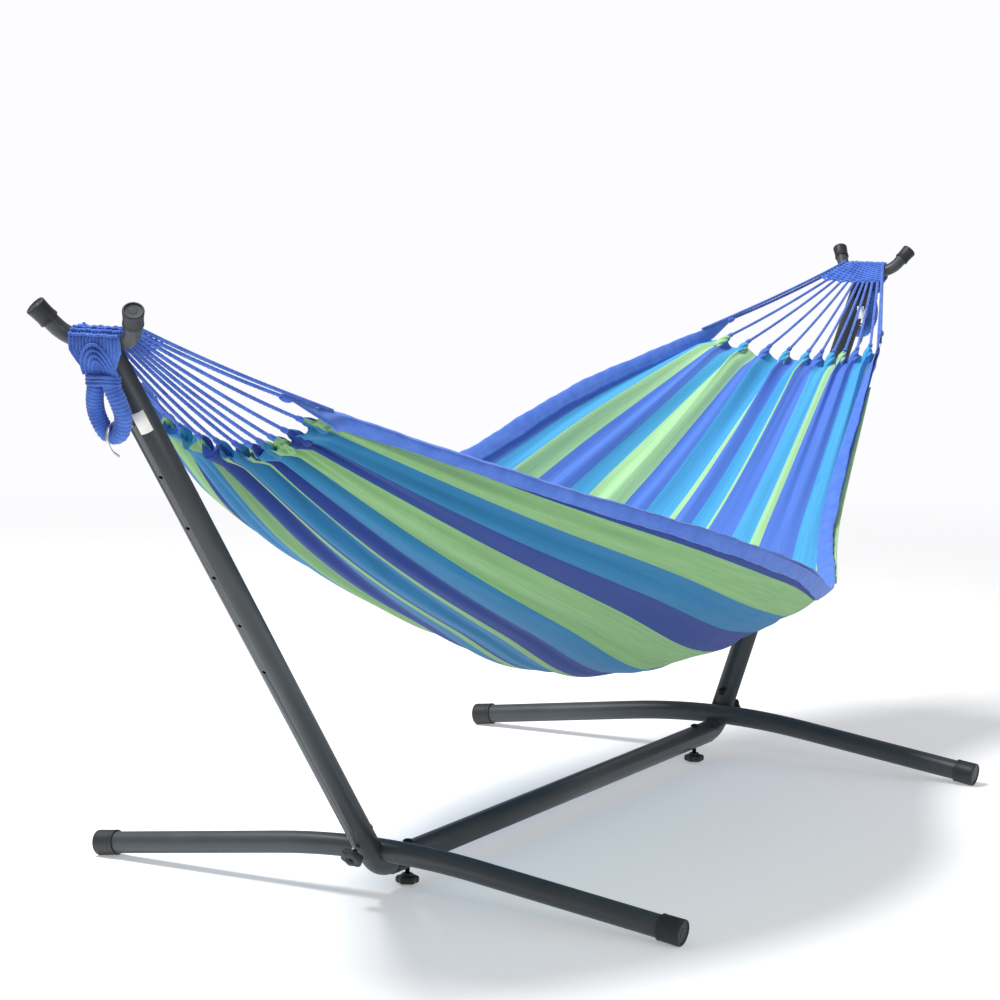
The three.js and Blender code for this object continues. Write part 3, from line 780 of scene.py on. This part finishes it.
def hem_tab(route, start, outward, inward, wide, deep, lean):
    """The tab from a hem's end to its cord, past a seam that draws it in: its line and its rings."""
    share = np.linspace(0, 1, 16)
    line = start + np.outer(share, route[-1] + unit(route[0] - route[-1]) * tab_long - start)
    wide = wide * (1 - share) ** 0.9 + tab_end_wide * share
    deep = deep * (1 - share) + tab_end_deep * share
    wide[1], deep[1] = wide[1] * 0.86, deep[1] * 0.7
    return line, section_rings(line, outward, inward, wide, deep, lean * (1 - share))


print("hem section with", hem_sides, "sides")

# %% [markdown]
# The stations of a hem run evenly from the left end to the right. Widths and depths are its section's
# size, insets move it in from the cloth's edge, leans turn it towards the sitter, and lifts raise it.

# %% Hems
def hem(name, side_of_bed, widths, depths, insets, leans, lifts):
    """A hem along one edge, from its sizes in millimetres and its leans in degrees at each station."""
    count = 340
    t = np.linspace(0, 1, count)
    width, depth, inset, lean, lift = (np.interp(t, np.linspace(0, 1, len(v)), v)
                                       for v in (widths, depths, insets, leans, lifts))
    width, depth, inset, lift, lean = width * mm, depth * mm, inset * mm, lift * mm, np.radians(lean)
    edge, inward = folded_cloth(t, np.full(count, side_of_bed * 0.9999))
    inner, _ = folded_cloth(t, np.full(count, side_of_bed * 0.93))
    outward = unit(edge - inner)
    pucker = 1 + 0.05 * np.sin(61 * t) + 0.035 * np.sin(143 * t + 1.3) + 0.02 * np.sin(389 * t)
    centre = edge - outward * (width / 2 + inset)[:, None] + inward * lift[:, None]
    rings = section_rings(centre, outward, inward, width * pucker, depth / pucker, lean)
    number = "01" if side_of_bed < 0 else "12"
    (left_line, left_tab), (right_line, right_tab) = (
        hem_tab(cords[f"cord_{side_name}_{number}"][1], centre[last], outward[last], inward[last],
                width[last], depth[last], lean[last]) for side_name, last in (("left", 0), ("right", -1)))
    rings = np.concatenate([left_tab[:0:-1], rings, right_tab[1:]])
    centre = np.concatenate([left_line[:0:-1], centre, right_line[1:]])
    if side_of_bed < 0:
        rings = rings[:, ::-1]
    return dress(mesh_of_rings(name, rings, distances(centre)), hem_cotton, "hammock")


front_hem_piece = hem("hem_front", -1,
                      widths=[30, 27, 27, 30, 34, 36, 36, 58, 56], depths=[23, 18, 12, 9, 7, 7, 6, 6, 9],
                      insets=[-5, -5, -4, -3, -3, -3, -3, 0, 0], leans=[0, 10, 14, 12, 10, 4, 0, 8, 18],
                      lifts=[0, 0, 0, 0, 0, 0, 1, 8, 7])
back_hem_piece = hem("hem_back", 1,
                     widths=[24, 30, 34, 38, 38, 34, 30], depths=[14, 9, 7, 6, 6, 7, 13],
                     insets=[-3], leans=[0, -8, -10, -8, -6, -6, 0], lifts=[0, 1, 2, 2, 2, 2, 0])
print("hems", len(front_hem_piece.data.polygons) + len(back_hem_piece.data.polygons), "faces")

# %% [markdown]
# ## Ties
# Each cord goes through an eyelet in the gathered cloth and is whipped with a few turns of thread. The
# outermost ties hold the hems' tabs, so they are thicker and sit further up their cords.

# %% Ties
def up_the_cord(route):
    """The direction from a cord's tie back up towards the harness."""
    return unit(route[-2] - route[-1])


for side_name in ends:
    turns = []
    for number in range(1, len(cord_places) + 1):
        route = cords[f"cord_{side_name}_{number:02d}"][1]
        holds_hem = number in (1, len(cord_places))
        wound_from, wound_to, thickness, fullness = (46, 68, 12.4, 0.7) if holds_hem else (-4, 11, 8.6, 0.25)
        wound = route[-1] + up_the_cord(route) * np.linspace(wound_from * mm, wound_to * mm, 24)[:, None]
        swell = 0.45 + 0.55 * np.sin(np.pi * np.linspace(0.06, 0.94, 24)) ** fullness
        turns.append(sweep(f"whipping_{number}", wound, thickness / 2 * mm, 14, ridge=0.45 * mm,
                           ridge_pitch=2.5 * mm, taper=swell))
    ties = dress(join(turns, f"ties_{side_name}"), royal_cord, "hammock")
    print(ties.name, len(ties.data.polygons), "faces")

# %% [markdown]
# ## Tufts
# Under each whipping the cloth stands up round the cord in a gathered tuft, in the colour of the stripe
# that is tied there. A tuft is a twisted rod with five soft lobes that swells below the tie. It takes its
# colour from the cloth's stripes, so its map is set to the place across the cloth where it belongs; the
# left end's tufts use the darker stripes with painted shade.

# %% Tufts
def onto_cloth(piece, across_at):
    """Gives a swept piece the cloth's map: its way round becomes a place across the cloth."""
    layer = piece.data.uv_layers["Along"]
    layer.name = "Cloth"
    uv = np.zeros(len(piece.data.loops) * 2)
    layer.data.foreach_get("uv", uv)
    uv[1::2] = across_at(uv[1::2])
    layer.data.foreach_set("uv", uv)


tuft_long, tuft_thickness = 55 * mm, 12.4 * mm
share = np.linspace(0, 1, 26)
swell_below_tie = (0.35 + 1.25 * np.sin(np.pi * np.clip(share + 0.12, 0, 1)) ** 0.8
                   + 0.35 * np.exp(-((share - 0.97) / 0.05) ** 2))
share = share[:, None]
for side_name, end in ends.items():
    parts = []
    for number, place in list(enumerate(cord_places, 1))[1:-1]:
        route = cords[f"cord_{side_name}_{number:02d}"][1]
        upward = up_the_cord(route)
        cloth_in = unit(bed_point(abs(tie_end(end) - 0.02), place) - bed_point(tie_end(end), place))
        line = route[-1] + upward * 9 * mm + tuft_long * (
            cloth_in * (1 - share) ** 1.2 - upward * share * (1 - share) * 0.2)
        tuft = sweep(f"tuft_{number}", line, tuft_thickness / 2, 40, lobes=5, lobe_depth=0.13,
                     lay=(90 + 9 * (number % 3)) * mm, taper=swell_below_tie, side_hint=(0, 1, 0.2))
        tied_at = float(cloth_share(tie_end(end), place))
        onto_cloth(tuft, lambda way: np.clip(tied_at + 0.035 * np.sin(2 * np.pi * way), 0.001, 0.999))
        parts.append(tuft)
    # The left end's tufts take the darker dyes with painted shade; the right end's take the cloth's own.
    tufts = dress(join(parts, f"tufts_{side_name}"), painted_shade_cotton if end < 0 else inner_cotton, "hammock")
    print(tufts.name, len(tufts.data.polygons), "faces")

# %% [markdown]
# ## The tucked stripe
# Towards the far end the green stripe beside the front hem is folded under it, and its fold stands out a
# few millimetres below the hem as a thin green edge.

# %% Tucked stripe
tuck_t = np.linspace(0.70, 0.96, 120)
tuck_edge, tuck_inward = folded_cloth(tuck_t, np.full(120, -0.9999))
tuck_inner, _ = folded_cloth(tuck_t, np.full(120, -0.93))
tuck_wide = 9 * mm * np.sin(np.pi * np.clip((tuck_t - 0.69) / 0.29, 0, 1)) ** 0.6
tuck_thin = 2.2 * mm
turn_round = -2 * np.pi * np.arange(12) / 12
tuck_rings = ((tuck_edge - tuck_inward * 5 * mm)[:, None]
              + unit(tuck_edge - tuck_inner)[:, None] * (tuck_wide[:, None] * np.cos(turn_round))[..., None]
              + tuck_inward[:, None] * (tuck_thin * np.sin(turn_round))[None, :, None])
tucked = mesh_of_rings("tucked_stripe", tuck_rings, distances(tuck_edge))
green_middle = float(cloth_edges[1] + cloth_edges[2]) / 2
onto_cloth(tucked, lambda way: green_middle + 0.004 * way)
dress(tucked, inner_cotton, "hammock")
print("tucked stripe", len(tucked.data.polygons), "faces")

# %% [markdown]
# ## Metal and plastic finishes
# The stand's finishes are all plain in colour, and differ in gloss, in grain and in how even they are. So
# one function makes them, from soft patches of two close colours and a fine grain that the light catches.

# %% Finishes for the stand
def grained_finish(name, dark, light, patch, grain, relief_depth, gloss, **surface):
    """A plain-coloured finish with soft patches, a fine grain and uneven gloss. Sizes are in metres."""
    finish, shader = new_finish(name, **surface)
    spot = add_node(finish, "ShaderNodeTexCoord")
    patches = add_node(finish, "ShaderNodeTexNoise",
                       {"Vector": spot.outputs["Object"], "Scale": 1 / patch, "Detail": 4.0})
    colour = add_node(finish, "ShaderNodeMix",
                      {"Factor": patches.outputs["Fac"], 6: linear(dark), 7: linear(light)}, data_type="RGBA")
    link(finish, colour.outputs[2], shader, "Base Color")
    fine = add_node(finish, "ShaderNodeTexNoise",
                    {"Vector": spot.outputs["Object"], "Scale": 1 / grain, "Detail": 2.0})
    rough = add_node(finish, "ShaderNodeMapRange",
                     {"Value": patches.outputs["Fac"], "To Min": gloss - 0.07, "To Max": gloss + 0.07})
    link(finish, rough.outputs[0], shader, "Roughness")
    relief = add_node(finish, "ShaderNodeBump",
                      {"Height": fine.outputs["Fac"], "Strength": 0.35, "Distance": relief_depth})
    link(finish, relief.outputs[0], shader, "Normal")
    return finish


# Polyester powder, baked on steel: a satin gloss over a faint orange-peel skin.
charcoal_coat = grained_finish("charcoal_powder_coat", "#34393c", "#41474b", 70 * mm, 2.2 * mm, 0.12 * mm,
                               0.40, IOR=1.5)
# Polypropylene moulded in a spark-eroded tool: dull black with a fine even grain.
black_plastic = grained_finish("moulded_polypropylene_black", "#1d1f21", "#2a2d2f", 25 * mm, 1.1 * mm,
                               0.10 * mm, 0.50, IOR=1.49)
# Steel blackened in a hot salt bath: dark, with a metal's own gloss.
black_steel = grained_finish("blackened_steel", "#26282a", "#3a3c3e", 12 * mm, 1.0 * mm, 0.04 * mm, 0.36,
                             Metallic=1.0)
# Wire and nuts plated with bright zinc: pale, slightly cloudy metal.
bright_zinc = grained_finish("bright_zinc_plate", "#c9cdcf", "#e6e8e8", 9 * mm, 1.2 * mm, 0.05 * mm, 0.32,
                             Metallic=1.0)
# Coated paper, left blank: smooth and nearly matt.
label_paper = grained_finish("coated_label_paper", "#e4e4de", "#f2f2ee", 14 * mm, 0.9 * mm, 0.03 * mm, 0.62)
# Polyester ribbon in satin weave: close, soft and a little glossy.
satin_tag = grained_finish("woven_satin_tag", "#dfe3e8", "#f4f6f8", 12 * mm, 0.6 * mm, 0.05 * mm, 0.5)
print("stand finishes ready")

# %% [markdown]
# ## Straight tubes, bolts and label
# These pieces have the right shape already, so a copy of each is merged into one skin and shaded smooth
# across its small faces, while its rims and hole edges stay crisp.

# %% Smooth copies
def smooth_copy(node, finish):
    """A merged copy of a CAD node, shaded smooth, that stands for it."""
    piece = in_scene(node + "_finished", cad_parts[node].data.copy())
    select_only(piece)
    bpy.ops.object.mode_set(mode="EDIT")
    bpy.ops.mesh.select_all(action="SELECT")
    bpy.ops.mesh.remove_doubles(threshold=0.02 * mm)
    bpy.ops.object.mode_set(mode="OBJECT")
    bpy.ops.object.shade_smooth_by_angle(angle=math.radians(38))
    dress(piece, finish, "stand")
    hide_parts(node)
    print(piece.name, len(piece.data.polygons), "faces")


smooth_copy("centre_beam", charcoal_coat)
smooth_copy("size_label", label_paper)
for side_name in ends:
    smooth_copy(f"arm_{side_name}", charcoal_coat)
    for bolt in ("beam_bolt", "arm_bolt"):
        smooth_copy(f"{bolt}_{side_name}", black_steel)

# %% [markdown]
# ## Bent tubes
# The cross legs, elbows and horned cradles are bent tube. Each starts as a circle at one end, is extruded
# along each straight run and spun round each bend, and then gets its wall thickness.


# %% Bent tubes
def bent_tube(name, corners, bend_radius, diameter, wall=1.5 * mm, sides=48, steps=14):
    """A bent tube whose centre line runs through these corners, with the same bend at each."""
    corners = [Vector(c) for c in corners]
    here, heading = corners[0], (corners[1] - corners[0]).normalized()
    bpy.ops.object.select_all(action="DESELECT")
    bpy.ops.mesh.primitive_circle_add(vertices=sides, radius=diameter / 2, location=here,
                                      rotation=heading.to_track_quat("Z", "Y").to_euler())
    piece = bpy.context.object
    piece.name = piece.data.name = name
    bpy.ops.object.transform_apply(location=True, rotation=True, scale=True)
    bpy.ops.object.mode_set(mode="EDIT")
    bpy.ops.mesh.select_all(action="SELECT")
    for corner_point, beyond in zip(corners[1:-1], corners[2:]):
        onward = (beyond - corner_point).normalized()
        turn = heading.angle(onward)
        trim = bend_radius * math.tan(turn / 2)
        bend_start = corner_point - heading * trim
        bpy.ops.mesh.extrude_region_move(TRANSFORM_OT_translate={"value": bend_start - here})
        inward = (onward - heading * onward.dot(heading)).normalized()
        bpy.ops.mesh.spin(steps=steps, angle=-turn, center=bend_start + inward * bend_radius,
                          axis=heading.cross(onward).normalized())
        here, heading = corner_point + onward * trim, onward
    bpy.ops.mesh.extrude_region_move(TRANSFORM_OT_translate={"value": corners[-1] - here})
    bpy.ops.mesh.select_all(action="SELECT")
    bpy.ops.mesh.remove_doubles(threshold=0.01 * mm)
    bpy.ops.mesh.normals_make_consistent(inside=False)
    bpy.ops.object.mode_set(mode="OBJECT")
    # The skin is open at both ends here, so which side is out is checked on its first face.
    face = piece.data.polygons[0]
    middle = sum((piece.data.vertices[v].co for v in range(sides)), Vector()) / sides
    if face.normal.dot(face.center - middle) < 0:
        piece.data.flip_normals()
    thickness = piece.modifiers.new("wall", "SOLIDIFY")
    thickness.thickness, thickness.offset = wall, -1
    bpy.ops.object.modifier_apply(modifier="wall")
    bpy.ops.object.shade_smooth_by_angle(angle=math.radians(35))
    return piece


print("bent tube ready")

# %% [markdown]
# The tubes' sizes are the CAD model's own, and each finished tube is compared with its node's box. A
# cross leg is one shallow arch, an elbow turns the beam's line into the arm's, and a cradle has a horn
# at each side. Each tube stops just inside its caps.

# %% Legs, elbows and cradles
leg_tube, elbow_tube, cradle_tube = 38 * mm, 40 * mm, 25 * mm
leg_x, leg_slope, leg_span = 680 * mm, math.radians(7.6), 1115 * mm
leg_cap_radius = 22.1 * mm
leg_end_height = (leg_cap_radius - 1 * mm) * math.cos(leg_slope)
leg_apex = leg_end_height + leg_span / 2 * math.tan(leg_slope)
leg_bend = 190 * mm / math.sin(leg_slope)
leg_in_cap, horn_in_cap = 3.1 * mm, 3 * mm


def leg_end(side_sign, back=0.0):
    """The end of a leg, or a point that far back from it, and the direction that it points in."""
    onward = np.array([0, side_sign * math.cos(leg_slope), -math.sin(leg_slope)])
    return np.array([leg_x, side_sign * leg_span / 2, leg_end_height]) - onward * back, onward


elbow_bend = 75 * mm
elbow_trim = elbow_bend * math.tan(arm_angle / 2)
beam_half = corner[0] - elbow_trim - 5 * mm
elbow_line = [(beam_half - 116 * mm, 0, beam_height), corner, corner + arm_up * 130 * mm]

cradle_bend = 45 * mm
horn_flare, horn_half = math.radians(65), 83 * mm
cradle_corner = 25 * mm + cradle_bend * math.tan(horn_flare / 2)
horn_rise = (horn_half - cradle_corner) * math.tan(horn_flare)


def horn_end(side_sign, back=0.0):
    """The end of a horn, or a point that far back from it, and the direction that it points in."""
    onward = np.array([0, side_sign * math.cos(horn_flare), 0]) + arm_up * math.sin(horn_flare)
    tip = cradle_middle + np.array([0, side_sign * horn_half, 0]) + arm_up * horn_rise
    return tip - onward * back, onward


leg_line = [leg_end(-1, leg_in_cap)[0], (leg_x, 0, leg_apex), leg_end(1, leg_in_cap)[0]]
cradle_line = [horn_end(-1, horn_in_cap)[0], cradle_middle - np.array([0, cradle_corner, 0]),
               cradle_middle + np.array([0, cradle_corner, 0]), horn_end(1, horn_in_cap)[0]]
for side_name, end in ends.items():
    for node, line, bend, tube in (("leg", leg_line, leg_bend, leg_tube),
                                   ("elbow", elbow_line, elbow_bend, elbow_tube),
                                   ("cradle", cradle_line, cradle_bend, cradle_tube)):
        piece = bent_tube(f"{node}_{side_name}_bent", at_end(line, end), bend, tube)
        dress(piece, charcoal_coat, "stand")
        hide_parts(f"{node}_{side_name}")
        low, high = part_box(f"{node}_{side_name}")
        off = max((Vector(piece.bound_box[0]) - low).length, (Vector(piece.bound_box[6]) - high).length)
        print(piece.name, "differs from the CAD box by", round(off / mm, 2), "mm")

# %% [markdown]
# ## Caps and knobs
# Turned and moulded round pieces are built up from a circle: extruded a little, scaled, extruded again,
# as a lathe profile grows. Each kind is modelled once, standing on its axis, and copied to its places.


# %% Turned pieces
def turned(name, profile, sides=64, hollow=False):
    """A round piece along +Z from its profile of (radius, height). A hollow one closes on itself."""
    bpy.ops.object.select_all(action="DESELECT")
    radius, height = profile[0]
    bpy.ops.mesh.primitive_circle_add(vertices=sides, radius=radius, location=(0, 0, height),
                                      fill_type="NOTHING" if hollow else "NGON")
    piece = bpy.context.object
    piece.name = piece.data.name = name
    bpy.ops.object.transform_apply(location=True, rotation=True, scale=True)
    bpy.ops.object.mode_set(mode="EDIT")
    bpy.ops.mesh.select_all(action="SELECT")
    for next_radius, next_height in profile[1:] + (profile[:1] if hollow else []):
        bpy.ops.mesh.extrude_region_move(TRANSFORM_OT_translate={"value": (0, 0, next_height - height)})
        bpy.ops.transform.resize(value=(next_radius / radius, next_radius / radius, 1),
                                 center_override=(0, 0, next_height))
        radius, height = next_radius, next_height
    bpy.ops.mesh.select_all(action="SELECT")
    bpy.ops.mesh.remove_doubles(threshold=0.01 * mm)
    bpy.ops.mesh.normals_make_consistent(inside=False)
    bpy.ops.object.mode_set(mode="OBJECT")
    bpy.ops.object.shade_smooth_by_angle(angle=math.radians(32))
    return piece


def place_copy(model, name, point, direction):
    """A copy of a model with its own mesh, its +Z turned to a direction, its place in its mesh."""
    piece = in_scene(name, model.data.copy())
    turn = Vector(direction).to_track_quat("Z", "Y").to_matrix().to_4x4()
    piece.data.transform(Matrix.Translation(Vector(point)) @ turn)
    return piece


def profile_mm(*points):
    """A profile written in millimetres, in metres."""
    return [(r * mm, z * mm) for r, z in points]


print("turned pieces ready")

# %% [markdown]
# Both caps have a rolled rim at their mouth, a slightly waisted skirt and a shallow dished end with a
# small gate mark. The leg caps are cut flat where they stand on the floor. The knob's grip is pressed in
# between its six lobes.

# %% Caps and knobs
horn_cap = turned("horn_cap_model", profile_mm(
    (13.0, -30), (14.6, -30), (15.2, -29.2), (15.1, -26.5), (14.6, -25.6), (14.5, -20), (14.7, -13),
    (15.1, -7), (15.5, -3), (15.4, -1.2), (14.6, -0.2), (13.6, 0), (12.6, -0.2), (12.2, -1.3), (6.0, -1.5),
    (5.4, -1.1), (1.0, -1.1)))
leg_cap = turned("leg_cap_model", profile_mm(
    (19.5, -40), (21.4, -40), (22.1, -39.2), (22.1, -35.5), (21.5, -34.8), (21.4, -31.5), (21.9, -30.8),
    (21.9, -20), (22.1, -8), (22.1, -2.4), (21.5, -0.8), (20.2, 0), (18.6, -0.2), (18.0, -1.6), (9.0, -1.8),
    (8.4, -1.2), (1.5, -1.2)))
knob = turned("knob_model", profile_mm(
    (4.3, 0), (8.6, 0), (9.4, 0.6), (10.2, 3.4), (16.0, 4.2), (18.8, 5.4), (20.0, 7.6), (20.0, 12.2),
    (19.2, 14.8), (17.2, 16.4), (13.0, 17.0), (8.2, 16.2), (7.4, 15.0), (4.3, 15.0)), sides=96, hollow=True)
for vertex in knob.data.vertices:
    out = math.hypot(vertex.co.x, vertex.co.y)
    lobes = 0.5 - 0.5 * math.cos(6 * math.atan2(vertex.co.y, vertex.co.x))
    press = 1 - 0.15 * lobes * min(1.0, max(0.0, (out - 10.5 * mm) / (6 * mm)))
    vertex.co.x *= press
    vertex.co.y *= press



def moulded(model, node, body, point, direction):
    """A moulded copy at its place, that stands for its node."""
    piece = place_copy(model, f"{node}_moulded", point, direction)
    dress(piece, black_plastic, body)
    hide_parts(node)
    return piece


knob_drop = 32 * mm  # from the tube's centre line to the knob's top face
floor_down = np.array([0, 0, -1.0])
for side_name, end in ends.items():
    for side_sign in (-1, 1):
        facing = facing_name(side_sign, end)
        tip, onward = horn_end(side_sign)
        moulded(horn_cap, f"horn_cap_{side_name}_{facing}", "stand", at_end(tip, end), at_end(onward, end))
        tip, onward = leg_end(side_sign)
        cap = moulded(leg_cap, f"leg_cap_{side_name}_{facing}", "stand", at_end(tip, end), at_end(onward, end))
        select_only(cap)
        bpy.ops.object.mode_set(mode="EDIT")
        bpy.ops.mesh.select_all(action="SELECT")
        bpy.ops.mesh.bisect(plane_co=(0, 0, 0), plane_no=(0, 0, 1), clear_inner=True, use_fill=True)
        bpy.ops.object.mode_set(mode="OBJECT")
    for knob_kind, centre, direction in (("beam_knob", beam_bolt, floor_down), ("arm_knob", arm_bolt, arm_out)):
        node = f"{knob_kind}_{side_name}"
        moulded(knob, node, node, at_end(centre + direction * knob_drop, end), at_end(direction, end))
for model in (horn_cap, leg_cap, knob):
    bpy.data.objects.remove(model)
print("caps and knobs placed")

# %% [markdown]
# ## Hooks
# Each hook is 5 mm wire, bent to go through the top hole of the arm, over the loop and down, and then
# plated. Its free end is cut and rounded.

# %% Hooks
hook_wire = 5 * mm
# The wire's bends: how far out from the arm's centre line and how far up along it, in millimetres.
hook_bends = [[-14, 0], [24, 0], [38, 12], [48, 30], [64, 37], [79, 26], [82, 8], [74, -12]]
hook_line = smooth_path([hook_hole + arm_out * out * mm + arm_up * up * mm for out, up in hook_bends], 1.5 * mm)
rounded_tip = np.ones(len(hook_line))
rounded_tip[-3:] = (0.93, 0.75, 0.4)
for side_name, end in ends.items():
    hook = sweep(f"hook_{side_name}_wire", at_end(hook_line, end), hook_wire / 2, 20, side_hint=(0, 1, 0),
                 taper=rounded_tip)
    dress(hook, bright_zinc, "stand")
    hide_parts(f"hook_{side_name}")
    print(hook.name, round(float(distances(hook_line)[-1]) / mm), "mm of wire")

# %% [markdown]
# ## Nuts
# A zinc hexagon nut locks each arm knob on its bolt. It is turned like the caps, with six sides.

# %% Nuts
nut = turned("nut_model", profile_mm((4.3, 0), (6.0, 0), (6.9, 0.7), (6.9, 5.6), (6.0, 6.3), (4.3, 6.3)),
             sides=6, hollow=True)
for side_name, end in ends.items():
    centre = arm_bolt + arm_out * 22.6 * mm
    piece = place_copy(nut, f"arm_nut_{side_name}_hexagon", at_end(centre, end), at_end(arm_out, end))
    dress(piece, bright_zinc, "stand")
    print(piece.name, len(piece.data.polygons), "faces")
bpy.data.objects.remove(nut)

# %% [markdown]
# ## Weld beads
# A weld bead runs round each elbow where the leg sits on it, on the front and on the back. It follows the
# line where the two tubes meet: for each way round the leg, the place across the leg at which its skin
# is as far from the elbow's centre line as the elbow's own skin.

# %% Weld beads
bead_thickness = 4.4 * mm
leg_skin, elbow_skin = leg_tube / 2 + 0.3 * mm, elbow_tube / 2 + 0.3 * mm
elbow_centre = np.array([corner[0] - elbow_trim, 0, beam_height + elbow_bend])
leg_crest = leg_apex - leg_bend * (1 / math.cos(leg_slope) - 1)


def meeting_line(side_sign):
    """Points along the line where the right end's leg meets its elbow, on one side."""
    points = []
    for angle in np.radians(np.linspace(-152, -28, 60)):
        across = np.linspace(2, 24, 400) * mm * side_sign
        height = leg_crest - across ** 2 / (2 * leg_bend) + leg_skin * math.sin(angle)
        along_stand = leg_x + leg_skin * math.cos(angle)
        from_bend = np.hypot(along_stand - elbow_centre[0], height - elbow_centre[2]) - elbow_bend
        from_line = np.hypot(from_bend, across)
        if np.any(from_line < elbow_skin):
            chosen = np.argmin(np.abs(from_line - elbow_skin))
            points.append((along_stand, across[chosen], height[chosen]))
    return np.array(points)


for side_name, end in ends.items():
    for side_sign in (-1, 1):
        line = at_end(smooth_path(meeting_line(side_sign), 1 * mm), end)
        bead = sweep(f"weld_bead_{side_name}_{facing_name(side_sign, end)}", line, bead_thickness / 2, 14,
                     ridge=0.35 * mm, ridge_pitch=3 * mm)
        dress(bead, charcoal_coat, "stand")
        print(bead.name, round(float(distances(line)[-1]) / mm), "mm long")

# %% [markdown]
# ## Care tag
# A small white satin tag hangs from one of the right-hand cords. It is a thin strip whose section is
# carried downwards, and it curls a little towards its free end. It stays blank.

# %% Care tag
tag_long, tag_curl = 27 * mm, 9 * mm
route = cords["cord_right_04"][1]
tag_top = route[int(np.searchsorted(distances(route), 200 * mm))] - np.array([0, 0, 3.4 * mm])
tag_across, tag_forward = np.array([0.42, -0.91, 0]), np.array([-0.91, -0.42, 0])
# Half the tag's width and its thickness, point by point round its section, in millimetres.
tag_section = [(-7, -0.35), (0, -0.4), (7, -0.35), (7.2, 0), (7, 0.35), (0, 0.4), (-7, 0.35), (-7.2, 0)]
tag_rings = []
for share in np.linspace(0, 1, 14):
    spot = tag_top - np.array([0, 0, tag_long * share]) + tag_forward * tag_curl * share ** 2
    tag_rings.append([spot + (tag_across * a + tag_forward * b) * mm for a, b in tag_section])
tag = mesh_of_rings("care_tag_satin", np.array(tag_rings), np.linspace(0, tag_long, 14))
dress(tag, satin_tag, "hammock")
print(tag.name, len(tag.data.polygons), "faces")

# %% Cords and cloth
for name, (piece, route) in cords.items():
    side_name = "left" if "left" in name else "right"
print(len(cords), "cords and a cloth of", cloth_wide, "by", cloth_long, "m declared")
